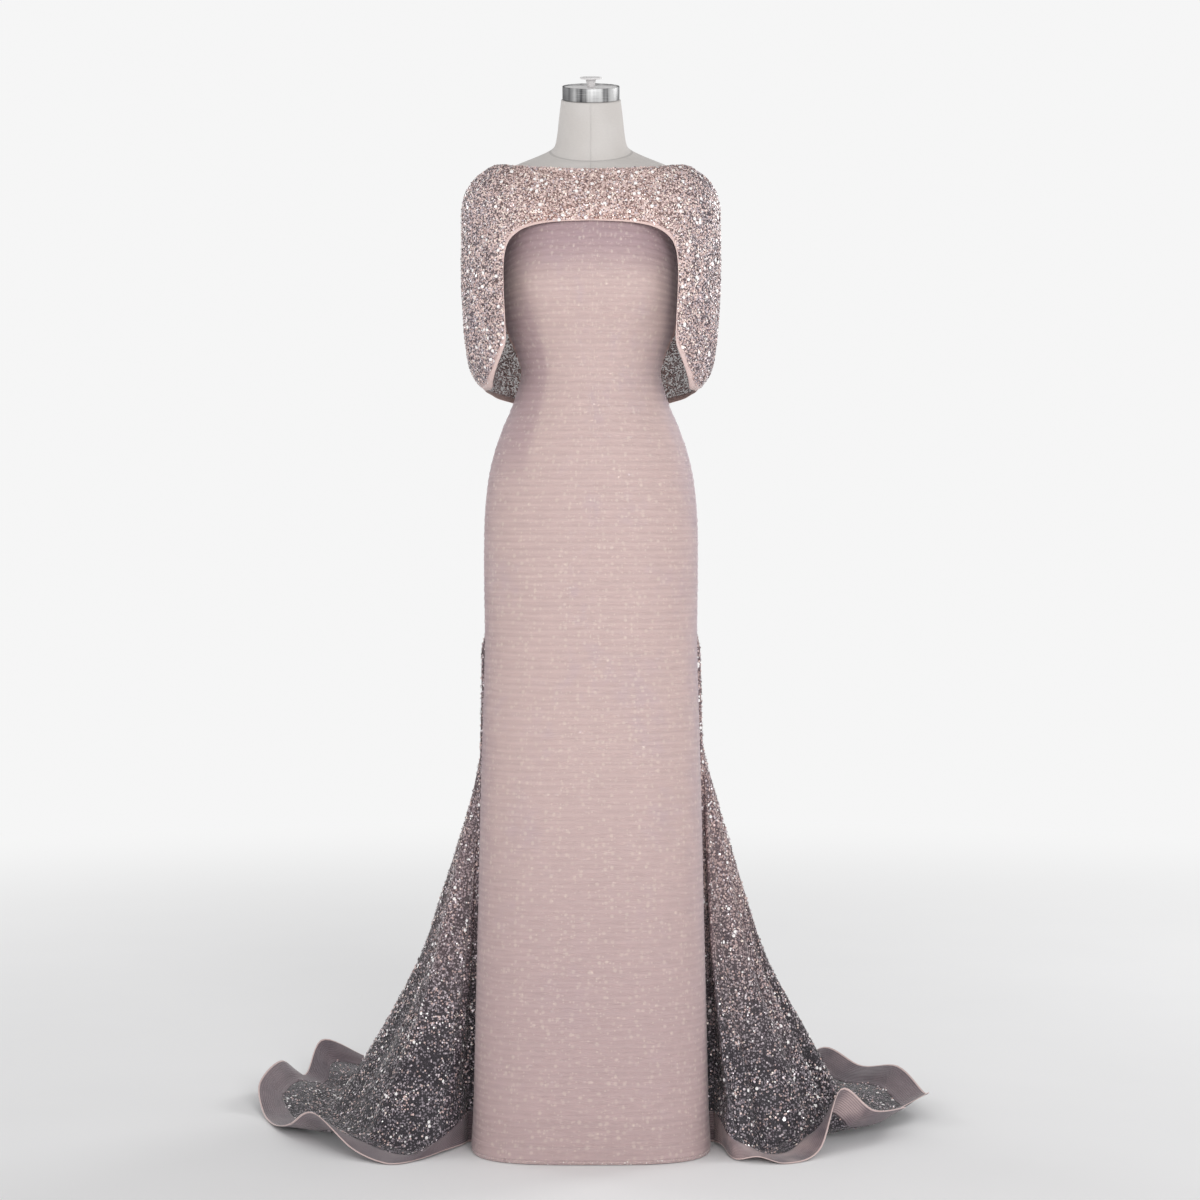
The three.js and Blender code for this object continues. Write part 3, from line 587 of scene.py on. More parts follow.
def cape_grid(half, columns=150, rows=52):
    """The front or the back of the cape's outside, its rows from the hem up."""
    if half == "front":
        lines = np.linspace(-CAPE_SEAM, CAPE_SEAM, columns)
    else:
        lines = np.linspace(CAPE_SEAM, 2 * CAPE_LAST - CAPE_SEAM, columns)
    mirrored = (lines < 0) | (lines > CAPE_LAST)
    edge = read(CAPE_EDGE, "at", np.where(lines > CAPE_LAST, 2 * CAPE_LAST - lines, np.abs(lines)))
    turn_back = 0 if half == "front" else 360
    neck = np.where(mirrored, turn_back - edge["neck"], edge["neck"])
    turn = np.where(mirrored, turn_back - edge["turn"], edge["turn"])
    share = np.linspace(1, 0, rows)[:, None]
    inside = on_cape(lerp(neck, turn, share), share * edge["drop"])
    return inside + normals_of(inside) * CAPE_OUT


# Meshes


def new_object(name, vertices, faces, shares=None, corners=None):
    """A mesh object from arrays, with its points in millimetres and texture shares for its corners."""
    mesh = bpy.data.meshes.new(name)
    mesh.from_pydata(np.asarray(vertices) * MM, [], faces)
    if shares is not None:
        layer = mesh.uv_layers.new(name="cloth")
        layer.data.foreach_set("uv", shares[corners].astype(np.float32).ravel())
    mesh.validate()
    made = bpy.data.objects.new(name, mesh)
    bpy.context.scene.collection.objects.link(made)
    mesh.polygons.foreach_set("use_smooth", np.ones(len(mesh.polygons), bool))
    return made


def grid_object(name, grid, shares=None, closed=False, ends=False):
    """A surface through a grid of points. Its columns may close up and its ends may be filled."""
    rows, columns = grid.shape[:2]
    if shares is None:
        shares = shares_of(np.zeros((rows, columns + 1 if closed else columns, 3)))
    wide = shares.shape[1]
    row, column = np.meshgrid(np.arange(rows - 1), np.arange(wide - 1), indexing="ij")
    corner_rows = np.stack([row, row, row + 1, row + 1], -1)
    corner_columns = np.stack([column, column + 1, column + 1, column], -1)
    faces = (corner_rows * columns + corner_columns % columns).reshape(-1, 4)
    corners = (corner_rows * wide + corner_columns).reshape(-1)
    faces = faces.tolist()
    corners = corners.tolist()
    if ends:
        first, last = np.arange(columns), (rows - 1) * columns + np.arange(columns)
        faces += [first[::-1].tolist(), last.tolist()]
        corners += first[::-1].tolist() + ((rows - 1) * wide + np.arange(columns)).tolist()
    return new_object(name, grid.reshape(-1, 3), faces, shares.reshape(-1, 2), np.array(corners))


def only(made):
    """Makes one object the selected and active one."""
    bpy.ops.object.select_all(action="DESELECT")
    made.select_set(True)
    bpy.context.view_layer.objects.active = made


def apply_modifier(made, kind, **settings):
    only(made)
    modifier = made.modifiers.new(kind.lower(), kind)
    for name, value in settings.items():
        setattr(modifier, name, value)
    bpy.ops.object.modifier_apply(modifier=modifier.name)


def walled(made, wall, finish, inside=None):
    """Gives a sheet its finish and its thickness, inwards. Its inside may have another finish."""
    made.data.materials.append(finish)
    if inside:
        made.data.materials.append(inside)
    apply_modifier(
        made,
        "SOLIDIFY",
        thickness=wall * MM,
        offset=-1,
        use_rim=True,
        use_even_offset=False,
        material_offset=1 if inside else 0,
    )


def scatter(grid, count, random, weight=None):
    """Random places on a grid, with their normals and shares across and along."""
    a, b, c, d = grid[:-1, :-1], grid[:-1, 1:], grid[1:, 1:], grid[1:, :-1]
    normal = np.cross(c - a, d - b)
    chance = np.linalg.norm(normal, axis=-1)
    if weight is not None:
        chance = chance * weight
    rows, columns = chance.shape
    picked = random.choice(chance.size, count, p=(chance / chance.sum()).ravel())
    row, column = np.unravel_index(picked, (rows, columns))
    s, t = random.random((2, count))
    low = lerp(a[row, column], b[row, column], s[:, None])
    high = lerp(d[row, column], c[row, column], s[:, None])
    places = lerp(low, high, t[:, None])
    shares = np.stack([(column + s) / columns, (row + t) / rows], -1)
    return places, unit(normal[row, column]), shares


def weights_on(grid, rule):
    """A rule's value at the middle of each cell of a grid, from its shares."""
    rows, columns = grid.shape[0] - 1, grid.shape[1] - 1
    v, u = np.meshgrid((np.arange(rows) + 0.5) / rows, (np.arange(columns) + 0.5) / columns, indexing="ij")
    return rule(u, v)


def sequins(name, places, normals, sizes, picks, colours, random, tilt=0.35, sides=6):
    """Flat sewn sequins as one mesh, each with its own lean and one of the foils."""
    count = len(places)
    facing = unit(normals + random.normal(0, 1, (count, 3)) * np.broadcast_to(tilt, count)[:, None])
    across = unit(np.cross(facing, random.normal(size=(count, 3))))
    upward = np.cross(facing, across)
    angles = np.arange(sides) * 2 * pi / sides
    ring = across[:, None] * np.cos(angles)[None, :, None] + upward[:, None] * np.sin(angles)[None, :, None]
    centres = places + normals * (SEQUIN_LIFT + SEQUIN_LEAN * sizes / 2)[:, None]
    vertices = (centres[:, None] + ring * (sizes / 2)[:, None, None]) * MM
    vertices[..., 2] = np.maximum(vertices[..., 2], FLOOR_GAP * MM)
    mesh = bpy.data.meshes.new(name)
    mesh.vertices.add(count * sides)
    mesh.vertices.foreach_set("co", vertices.astype(np.float32).ravel())
    mesh.loops.add(count * sides)
    mesh.loops.foreach_set("vertex_index", np.arange(count * sides, dtype=np.int32))
    mesh.polygons.add(count)
    mesh.polygons.foreach_set("loop_start", np.arange(0, count * sides, sides, dtype=np.int32))
    for foil in sequin_finishes(colours):
        mesh.materials.append(foil)
    mesh.polygons.foreach_set("material_index", picks.astype(np.int32))
    mesh.update(calc_edges=True)
    mesh.validate()
    made = bpy.data.objects.new(name, mesh)
    bpy.context.scene.collection.objects.link(made)
    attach(made, "root")
    return made


def pick_finish(shares, random, rule):
    """A finish for each sequin, from a rule that gives each place its chances."""
    chances = rule(shares[:, 0], shares[:, 1])
    limits = np.cumsum(chances / chances.sum(axis=1, keepdims=True), axis=1)
    return (random.random(len(shares))[:, None] > limits).sum(axis=1).clip(0, chances.shape[1] - 1)


def add_white_glint_sequins(random, widths, picks, tilt, sizes, share):
    """Makes a share of the sequins large, white and nearly flat, and three times as many just white. Partly
    white foil, partly painted highlights that stay bright under any light.
    """
    chance = random.random(len(widths))
    # Partly white sequins, partly painted highlights: white foil that looks bright whatever the light.
    picks[chance < share * 4] = SEQUIN_KINDS.index("white")
    widths[chance < share] = sizes.large_sequin / MM
    tilt[chance < share] = BRIGHT_TILT


def chances(count, *values):
    """A row of chances for each place, one for each kind of sequin in the order of SEQUIN_KINDS."""
    return np.stack([np.broadcast_to(value, count) for value in values], -1).astype(float)


def clumps(u, v, seed, scale=9):
    """Slow uneven patches from 0 to 1, as sewn sequins thin out and gather."""
    random = np.random.default_rng(seed)
    total = 0
    for _ in range(9):
        angle, phase = random.random(2) * 2 * pi
        speed = scale * (0.6 + 1.6 * random.random())
        total = total + np.sin(speed * 2 * (u * np.cos(angle) + v * np.sin(angle)) + phase)
    return 0.5 + 0.5 * np.tanh(total / 2.4)


def cut_of(grid):
    """The flat width, length and area of a cloth, in metres."""
    across = np.linalg.norm(np.diff(grid, axis=1), axis=-1).sum(axis=1).max() * MM
    down = np.linalg.norm(np.diff(grid, axis=0), axis=-1).sum(axis=0).max() * MM
    a, b, c, d = grid[:-1, :-1], grid[:-1, 1:], grid[1:, 1:], grid[1:, :-1]
    area = np.linalg.norm(np.cross(c - a, d - b), axis=-1).sum() / 2 * MM * MM
    return (float(across), float(down)), float(np.clip(area, LEAST_AREA * across * down, across * down))


def cloth(made, grid, nodes):
    """Attaches a finished cloth to the frame's root and hides the parts it replaces. Its cut size is worked
    out but not used.
    """
    (width, length), area = cut_of(grid)
    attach(made, "root")
    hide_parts(*nodes)


def hard_piece(made, nodes, finish, bevel=0.5):
    """Finishes a hard piece that was modelled in place."""
    made.data.transform(made.matrix_world)
    made.matrix_world = Matrix.Identity(4)
    apply_modifier(made, "BEVEL", width=bevel * MM, segments=3, limit_method="ANGLE", angle_limit=SHARP_ANGLE)
    bpy.ops.object.shade_smooth_by_angle(angle=SHARP_ANGLE)
    made.data.materials.clear()
    made.data.materials.append(finish)
    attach(made, "root")
    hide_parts(*nodes)


# Materials


def linear(colour):
    """A screen colour, each part from 0 to 1, as the light that a shader reads."""
    parts = [c / 12.92 if c <= 0.04045 else ((c + 0.055) / 1.055) ** 2.4 for c in colour[:3]]
    return (*parts, 1.0)


def maths_with(operation):
    """An operator of Value that adds one Math node."""
    return lambda self, other: self.finish.maths(operation, self, other)


class Value:
    """A number that varies over a surface. Sums on it add Math nodes to its finish."""

    def __init__(self, finish, socket):
        self.finish = finish
        self.socket = socket

    __add__ = __radd__ = maths_with("ADD")
    __sub__ = maths_with("SUBTRACT")
    __mul__ = __rmul__ = maths_with("MULTIPLY")
    __truediv__ = maths_with("DIVIDE")
    __pow__ = maths_with("POWER")
    at_most = maths_with("MINIMUM")
    at_least = maths_with("MAXIMUM")

    def __rsub__(self, other):
        return self.finish.maths("SUBTRACT", other, self)

    def size(self):
        return self.finish.maths("ABSOLUTE", self)

    def sine(self):
        return self.finish.maths("SINE", self)

    def phase(self):
        return self.finish.maths("FRACT", self)

    def ramp(self, low, high):
        """0 below low, 1 above high and smooth between. High may be under low."""
        inputs = {"Value": self, "From Min": low, "From Max": high}
        return self.finish.value("MapRange", {"interpolation_type": "SMOOTHSTEP"}, inputs, "Result")


class Finish:
    """One material and the nodes that make it."""

    def __init__(self, name, **constants):
        self.material = bpy.data.materials.new(name)
        self.material.use_nodes = True
        self.tree = self.material.node_tree
        self.tree.nodes.clear()
        self.shader = self.node("BsdfPrincipled", inputs=constants.pop("inputs", {}))
        self.node("OutputMaterial", inputs={"Surface": self.shader.outputs["BSDF"]})

    def node(self, kind, settings=None, inputs=None):
        made = self.tree.nodes.new("ShaderNode" + kind)
        for name, value in (settings or {}).items():
            setattr(made, name, value)
        for name, value in (inputs or {}).items():
            self.plug(made.inputs[name], value)
        return made

    def plug(self, socket, value):
        if isinstance(value, Value):
            value = value.socket
        if isinstance(value, bpy.types.NodeSocket):
            self.tree.links.new(value, socket)
        elif socket.type == "VECTOR" and hasattr(value, "__len__"):
            socket.default_value = value[:3]
        else:
            socket.default_value = value

    def value(self, kind, settings=None, inputs=None, output=0):
        return Value(self, self.node(kind, settings, inputs).outputs[output])

    def maths(self, operation, first, second=None):
        inputs = {0: first} if second is None else {0: first, 1: second}
        return self.value("Math", {"operation": operation}, inputs)

    def mix(self, share, first, second):
        """A colour between two others."""
        return self.node("Mix", {"data_type": "RGBA"}, {0: share, 6: first, 7: second}).outputs[2]

    def shade(self, colour, share):
        """A colour made lighter or darker by a share."""
        vector = self.node("VectorMath", {"operation": "SCALE"}, {0: colour, "Scale": share})
        return vector.outputs[0]

    def place(self):
        return self.node("TexCoord").outputs["Object"]

    def cloth_shares(self):
        shares = self.node("UVMap", {"uv_map": "cloth"}).outputs[0]
        parts = self.node("SeparateXYZ", inputs={0: shares}).outputs
        return shares, Value(self, parts[0]), Value(self, parts[1])

    def stretched(self, vector, factors):
        return self.node("VectorMath", {"operation": "MULTIPLY"}, {0: vector, 1: factors}).outputs[0]

    def noise(self, vector, scale, detail=2.0):
        return self.value("TexNoise", {}, {"Vector": vector, "Scale": scale, "Detail": detail})

    def cells(self, vector, scale, dimensions="3D"):
        """Distance from the middle of each random cell, and two random numbers that it keeps."""
        settings = {"voronoi_dimensions": dimensions}
        node = self.node("TexVoronoi", settings, {"Vector": vector, "Scale": scale})
        parts = self.node("SeparateColor", inputs={0: node.outputs["Color"]}).outputs
        return Value(self, node.outputs["Distance"]), Value(self, parts[0]), Value(self, parts[1])

    def colour(self, value):
        self.plug(self.shader.inputs["Base Color"], value)

    def set(self, name, value):
        self.plug(self.shader.inputs[name], value)

    def relief(self, height, distance, strength=1.0):
        """Raises the surface by height times distance, in millimetres."""
        inputs = {"Height": height, "Distance": distance * MM, "Strength": strength}
        self.set("Normal", self.node("Bump", inputs=inputs).outputs["Normal"])


def sequinned_cloth(name, gaps, cover):
    """Tulle close-set with small flat sequins, a few cells painted near white as glints."""
    finish = Finish(name, inputs={"Sheen Weight": 0.15, "Metallic": 0.15})
    distance, tone, other = finish.cells(finish.place(), CAPE_CHIPS)
    body = finish.mix(tone.ramp(0.1, 0.9), finish.shade(cover, 0.8), cover)
    # Painted highlights: a few random cells turn near white, as sequins catching the light.
    body_with_glints = finish.mix(other.ramp(0.86, 0.95), body, (0.95, 0.88, 0.84, 1))
    finish.colour(finish.mix(distance.ramp(0.42, 0.62), body_with_glints, gaps))
    finish.set("Roughness", 0.3 + 0.35 * tone)
    finish.relief(tone * 0.6 - distance, 0.5)
    return finish.material


def veil_tulle(colours):
    """Sheer tulle, clearer between its tucks, with painted glints in rows for the sequins under it, and
    painted light, shade and reflection on its sides.
    """
    finish = Finish("veil_tulle", inputs={"Roughness": 0.62, "Sheen Weight": 0.25, "Sheen Roughness": 0.4})
    shares, u, v = finish.cloth_shares()
    aside = (u - 0.5).size()
    centre = 1 - aside * 2
    phase = (v * TUCK_COUNT).phase()
    clouds = finish.noise(finish.stretched(shares, (5, 9, 1)), 1.0, 3)
    mottle = finish.noise(finish.stretched(shares, (24, 58, 1)), 1.0, 3)
    streaks = finish.noise(finish.stretched(shares, (13, 400, 1)), 1.0, 3)
    grain = finish.noise(finish.stretched(shares, (250, 640, 1)), 1.0, 2)
    # Partly the veil's own mauve and lilac, partly painted side lighting: the left side is darker mauve as
    # shade, the right lighter lilac as light from the right.
    sides = finish.mix(u.ramp(0.35, 0.65), linear(colours.mauve), linear(colours.lilac))
    warmth = (centre + (clouds - 0.5) * 0.3 + (mottle - 0.5) * 0.2).ramp(-0.02, 0.42)
    body = finish.mix(warmth, sides, linear(colours.blush))
    cool = (clouds + mottle * 0.5).ramp(0.78, 0.98) * 0.3
    body = finish.mix(cool, body, linear(colours.lilac))
    body = finish.mix(v.ramp(0.5, 0.1) * 0.7, body, linear(colours.rose))
    body = finish.mix(v.ramp(0.93, 0.985) * 0.7, body, linear(colours.mauve))
    # Painted shade: the left side front panel, turned away from the light, is darkened towards mauve.
    seam_side = aside.ramp(PRINCESS_SHARE - 0.02, PRINCESS_SHARE + 0.03)
    side_panel_shade = seam_side * v.ramp(0.7, 0.78) * v.ramp(0.95, 0.88) * u.ramp(0.6, 0.4)
    body = finish.mix(side_panel_shade * 0.5, body, linear(colours.mauve))
    # Painted reflection: a warm coral glow on the bodice's sides, where they turn away under the cape.
    edge = aside.ramp(0.4, 0.45) * v.ramp(0.82, 0.88)
    body = finish.mix(edge * 0.85, body, linear(colours.coral))
    under = phase.ramp(0.45, 0.6) * phase.ramp(1, 0.75)
    shadow = under * (v.ramp(0.3, 0.6) * 0.035 + 0.008) + v.ramp(0.045, 0.04) * 0.04
    uneven = (streaks - 0.5) * 0.1 + (grain - 0.5) * 0.14 + (mottle - 0.5) * 0.12
    body = finish.shade(body, 1 - shadow + uneven)
    # Painted highlights: soft and sharp bright dots in rows, as the sequins under the veil glint through it.
    dots, pick, tone = finish.cells(finish.stretched(shares, VEIL_GLINT_DOTS), 1.0, "2D")
    columns = (u * (2 * pi * 8)).sine() * 0.07
    lit = (pick + (clouds - 0.5) * 0.5 + centre * 0.1 + columns).ramp(0.42, 0.8)
    soft_glints = dots.ramp(0.34, 0.1) * lit * (0.35 + 0.65 * tone)
    specks, chance, shine = finish.cells(finish.stretched(shares, VEIL_GLINT_SPECKS), 1.0, "2D")
    sharp_glints = specks.ramp(0.36, 0.16) * (chance + columns).ramp(0.8, 0.9) * (0.4 + 0.6 * shine)
    body = finish.mix((soft_glints * 0.5 + sharp_glints * 0.5).at_most(0.8), body, linear(colours.champagne))
    hem = (v - 0.0138).size().ramp(0.0012, 0.0004)
    finish.colour(finish.shade(body, 1 - hem * 0.1))
    crest = phase.ramp(0.1, 0.3) * phase.ramp(0.75, 0.45)
    finish.set("Alpha", (0.5 + crest * 0.08 + (streaks - 0.5) * 0.08 + hem * 0.2).at_most(1))
    finish.relief(streaks * 0.35 + grain * 0.45, 0.2)
    return finish.material


def across_and_up(finish):
    """How far a point lies to the right, how far back and how high, in metres."""
    parts = finish.node("SeparateXYZ", inputs={0: finish.place()}).outputs
    return [Value(finish, part) for part in parts]


def chips_on(finish, scale, cover, patches):
    """Small sewn chips: where they are, a random tone for each, and another random number."""
    distance, tone, other = finish.cells(finish.place(), scale)
    kept = (tone + (patches - 0.5) * 0.9 + cover - 1).ramp(-0.06, 0.06)
    return kept * distance.ramp(0.56, 0.42), tone, other


def cape_net(name, colours, shade, sheer):
    """Dense net with small chips, warm at the neck and mauve over the arms, with a plain turned edge. Shade
    scales the whole colour, and below 1 it is painted shade.
    """
    finish = Finish(name, inputs={"Sheen Weight": 0.15})
    _, _, v = finish.cloth_shares()
    x, y, _ = across_and_up(finish)
    patches = finish.noise(finish.place(), 26, 3)
    outer = (x.size() / 0.2 + (patches - 0.5) * 0.25).ramp(0.35, 0.95)
    low = v.ramp(0.45, 0.05) * x.size().ramp(0.13, 0.07) * y.ramp(0, -0.04)
    chip = finish.mix(outer, linear(colours.sequin_blush), linear(colours.sequin_silver))
    chip = finish.mix(low * 0.45, chip, linear(colours.coral))
    gap = finish.mix(outer, linear(colours.net), linear(colours.sequin_slate))
    mask, tone, other = chips_on(finish, CAPE_CHIPS, 0.7, patches)
    body = finish.mix(mask, finish.shade(gap, 0.8 + 0.3 * tone), finish.shade(chip, 0.76 + 0.24 * other))
    strip = v.ramp(0.032, 0.022)
    body = finish.mix(strip * 0.8, body, linear(colours.sequin_blush))
    finish.colour(finish.shade(body, shade))
    finish.set("Roughness", 0.65 - mask * 0.25)
    finish.set("Alpha", (sheer + mask * (1 - sheer) + strip).at_most(1))
    finish.relief(mask * (0.5 + other * 0.5), 0.35)
    return finish.material


def train_net(name, colours, dark):
    """Sheer net whose chips thin out into dark patches near the floor, that darkness partly painted shade,
    and lighter to the right as painted light. Dark is how dim its shaded side is.
    """
    finish = Finish(name, inputs={"Sheen Weight": 0.15})
    x, y, z = across_and_up(finish)
    patches = finish.noise(finish.stretched(finish.place(), (1, 1, 0.6)), 15, 3)
    # Partly the net's dusky colour, partly painted shade: low down its gaps darken for the dark that shows
    # through the sheer net near the floor.
    low = (z + (patches - 0.5) * 0.3).ramp(0.52, 0.08)
    # Painted light: the net's chips and gaps are lighter and warmer to the right, where the light falls.
    right = x.ramp(-0.12, 0.14)
    chip_high = finish.mix(right, linear(colours.train_chip), linear(colours.sequin_rose))
    chip = finish.mix(low, chip_high, linear(colours.train_chip_low))
    gap_high = finish.shade(linear(colours.train_top), 0.9 + right * 0.3)
    gap = finish.mix(low, gap_high, linear(colours.train_low_shade))
    mask, tone, other = chips_on(finish, TRAIN_CHIPS, 0.74 - low * 0.24, patches)
    body = finish.mix(mask, finish.shade(gap, 0.75 + 0.4 * tone), finish.shade(chip, 0.7 + 0.35 * other))
    shaded = y.ramp(0.04, 0.16)
    finish.colour(finish.shade(body, 1 - shaded * dark))
    finish.set("Roughness", 0.6 - mask * 0.25)
    finish.set("Alpha", 0.62 + mask * 0.38)
    finish.relief(mask * (0.5 + other * 0.5), 0.6)
    return finish.material


def horsehair_braid(name, colours, dark):
    """A stiff ribbon of parallel ribs with a bound rim, lighter at the front right as painted light. Dark is
    how far its shaded side turns to dark net.
    """
    finish = Finish(name, inputs={"Sheen Weight": 0.25, "Sheen Roughness": 0.35})
    shares, _, v = finish.cloth_shares()
    x, y, _ = across_and_up(finish)
    ribs = (v * (2 * pi * BRAID_RIBS)).sine()
    threads = finish.noise(finish.stretched(shares, (700, 36, 1)), 1.0, 2)
    patches = finish.noise(finish.place(), 16, 3)
    rim = v.ramp(0.93, 0.96)
    # Painted light: the braid is lighter at the front right, where the light falls.
    right = x.ramp(-0.1, 0.25) * y.ramp(0.06, -0.04)
    light = finish.mix(right, linear(colours.braid), linear(colours.braid_right))
    body = finish.mix(patches.ramp(0.32, 0.7), linear(colours.braid_shadow), light)
    body = finish.shade(body, 0.94 + ribs * 0.17 + (threads - 0.5) * 0.3)
    mask, tone, _ = chips_on(finish, TRAIN_CHIPS, 0.5, patches)
    net = finish.mix(mask * 0.7, linear(colours.train_low_shade), linear(colours.train_chip_low))
    shaded = y.ramp(0.04, 0.14) * (1 - rim) * dark
    body = finish.mix(shaded, body, finish.shade(net, 0.6 + 0.3 * tone))
    finish.colour(finish.mix(rim * 0.85, body, linear(colours.blush)))
    finish.set("Roughness", 0.5 + ribs * 0.12)
    finish.relief(ribs * (1 - rim) * 0.5 + rim + threads * 0.3, 0.7)
    return finish.material


def linen():
    finish = Finish("form_linen", inputs={"Sheen Weight": 0.12})
    shares, u, v = finish.cloth_shares()
    x = (u * 2600).sine()
    y = (v * 5200).sine()
    slubs = finish.noise(finish.stretched(shares, (60, 900, 1)), 1.0, 3)
    stains = finish.noise(finish.place(), 9, 2)
    body = finish.mix(stains.ramp(0.3, 0.75), linear((0.765, 0.745, 0.73)), linear((0.815, 0.8, 0.79)))
    seam = (u - 0.5).size().ramp(0.0018, 0.0008)
    neck = (v - NECK_SEAM_Z / CAP_SEAT).size().ramp(0.0009, 0.0004)
    line = seam.at_least(neck)
    body = finish.shade(body, 1 - line * 0.22 + (slubs - 0.5) * 0.1)
    finish.colour(body)
    finish.set("Roughness", 0.82 + (slubs - 0.5) * 0.2)
    finish.relief(x * 0.12 + y * 0.12 + slubs * 0.5 - line * 1.2, 0.25)
    return finish.material


def brushed_steel(name, tone, streaky):
    """Steel brushed round its axis, with painted reflections: soft bright and dark bands, darker towards its
    left and right edges.
    """
    finish = Finish(name, inputs={"Metallic": 0.75})
    x = across_and_up(finish)[0]
    place = finish.place()
    # Painted reflections: bright and dark upright bands, and darker left and right edges, where the lights
    # would reflect in the steel.
    reflection_bands = finish.noise(finish.stretched(place, (95, 10, 0)), 1.0, 2)
    brush = finish.noise(finish.stretched(place, (30, 30, 2600)), 1.0, 2)
    across = x / (CAP_RADIUS * MM)
    light = (reflection_bands * streaky + brush * 0.25 + 0.45 * (1 - streaky)).ramp(0.4, 0.78)
    light = light * across.ramp(-1.0, -0.55) * across.ramp(1.02, 0.8)
    dim = tone * 0.2
    finish.colour(finish.mix(light, linear((dim, dim, dim * 1.12)), linear((tone, tone, tone))))
    finish.set("Roughness", 0.36 + brush * 0.2)
    finish.relief(brush, 0.06)
    return finish.material


def cast_iron():
    finish = Finish("enamelled_iron", inputs={"Metallic": 0.0, "Coat Weight": 0.3})
    grain = finish.noise(finish.place(), 260, 3)
    finish.colour(finish.mix(grain, linear((0.16, 0.16, 0.17)), linear((0.26, 0.26, 0.28))))
    finish.set("Roughness", 0.35 + grain * 0.3)
    finish.relief(grain, 0.15)
    return finish.material


def knob_finish():
    finish = Finish("knob_lacquer", inputs={"Coat Weight": 0.4})
    grain = finish.noise(finish.stretched(finish.place(), (60, 60, 900)), 1.0, 3)
    finish.colour(finish.mix(grain, linear((0.80, 0.79, 0.79)), linear((0.88, 0.87, 0.87))))
    finish.set("Roughness", 0.3 + grain * 0.2)
    return finish.material


def satin(name, colour):
    """A closely woven narrow tape with a soft lustre."""
    finish = Finish(name, inputs={"Sheen Weight": 0.3})
    weave = finish.noise(finish.stretched(finish.place(), (900, 900, 2400)), 1.0, 2)
    finish.colour(finish.mix(weave, finish.shade(colour, 0.82), colour))
    finish.set("Roughness", 0.4 + weave * 0.25)
    finish.relief(weave, 0.2)
    return finish.material


def zip_tape(colours):
    """The closure's plain tape, its covered coil a low ridge with a stitched line on each side."""
    finish = Finish("zip_tape", inputs={"Sheen Weight": 0.2})
    _, u, v = finish.cloth_shares()
    weave = finish.noise(finish.stretched(finish.place(), (700, 700, 2400)), 1.0, 2)
    coil = (u - 0.5).size().ramp(0.09, 0.02)
    stitch = ((u - 0.5).size() - 0.3).size().ramp(0.05, 0.02) * (v * 160).phase().ramp(0.3, 0.4)
    body = finish.mix(weave, finish.shade(linear(colours.rose), 0.84), linear(colours.rose))
    finish.colour(finish.shade(body, 1 - coil * 0.25 - stitch * 0.2))
    finish.set("Roughness", 0.5 + weave * 0.2)
    finish.relief(weave * 0.2 + coil - stitch * 0.5, 0.6)
    return finish.material


def sequin_finish(name, colour, metallic, roughness, coat=0.4):
    inputs = {"Base Color": colour, "Metallic": metallic, "Roughness": roughness, "Coat Weight": coat}
    return Finish(name, inputs=inputs).material


SEQUIN_KINDS = ("blush", "rose", "silver", "champagne", "white", "slate")
finishes = {}


def sequin_finishes(colours):
    """The plain foils that the sequins are cut from."""
    if not finishes:
        finishes["blush"] = sequin_finish("sequin_blush", linear(colours.sequin_blush), 0.1, 0.42)
        finishes["rose"] = sequin_finish("sequin_rose", linear(colours.sequin_rose), 0.15, 0.4)
        finishes["silver"] = sequin_finish("sequin_silver", linear(colours.sequin_silver), 0.35, 0.3)
        finishes["champagne"] = sequin_finish("sequin_champagne", linear(colours.champagne), 0.15, 0.34)
        finishes["white"] = sequin_finish("sequin_white", (0.98, 0.95, 0.94, 1), 0.05, 0.15, 1.0)
        finishes["slate"] = sequin_finish("sequin_slate", linear(colours.sequin_slate), 0.35, 0.35)
    return [finishes[kind] for kind in SEQUIN_KINDS]


# Settings


def colour_setting(name, description, red, green, blue):
    default = (red / 255, green / 255, blue / 255)
    return FloatVectorProperty(
        name=name, description=description, default=default, min=0, max=1, size=3, subtype="COLOR_GAMMA"
    )


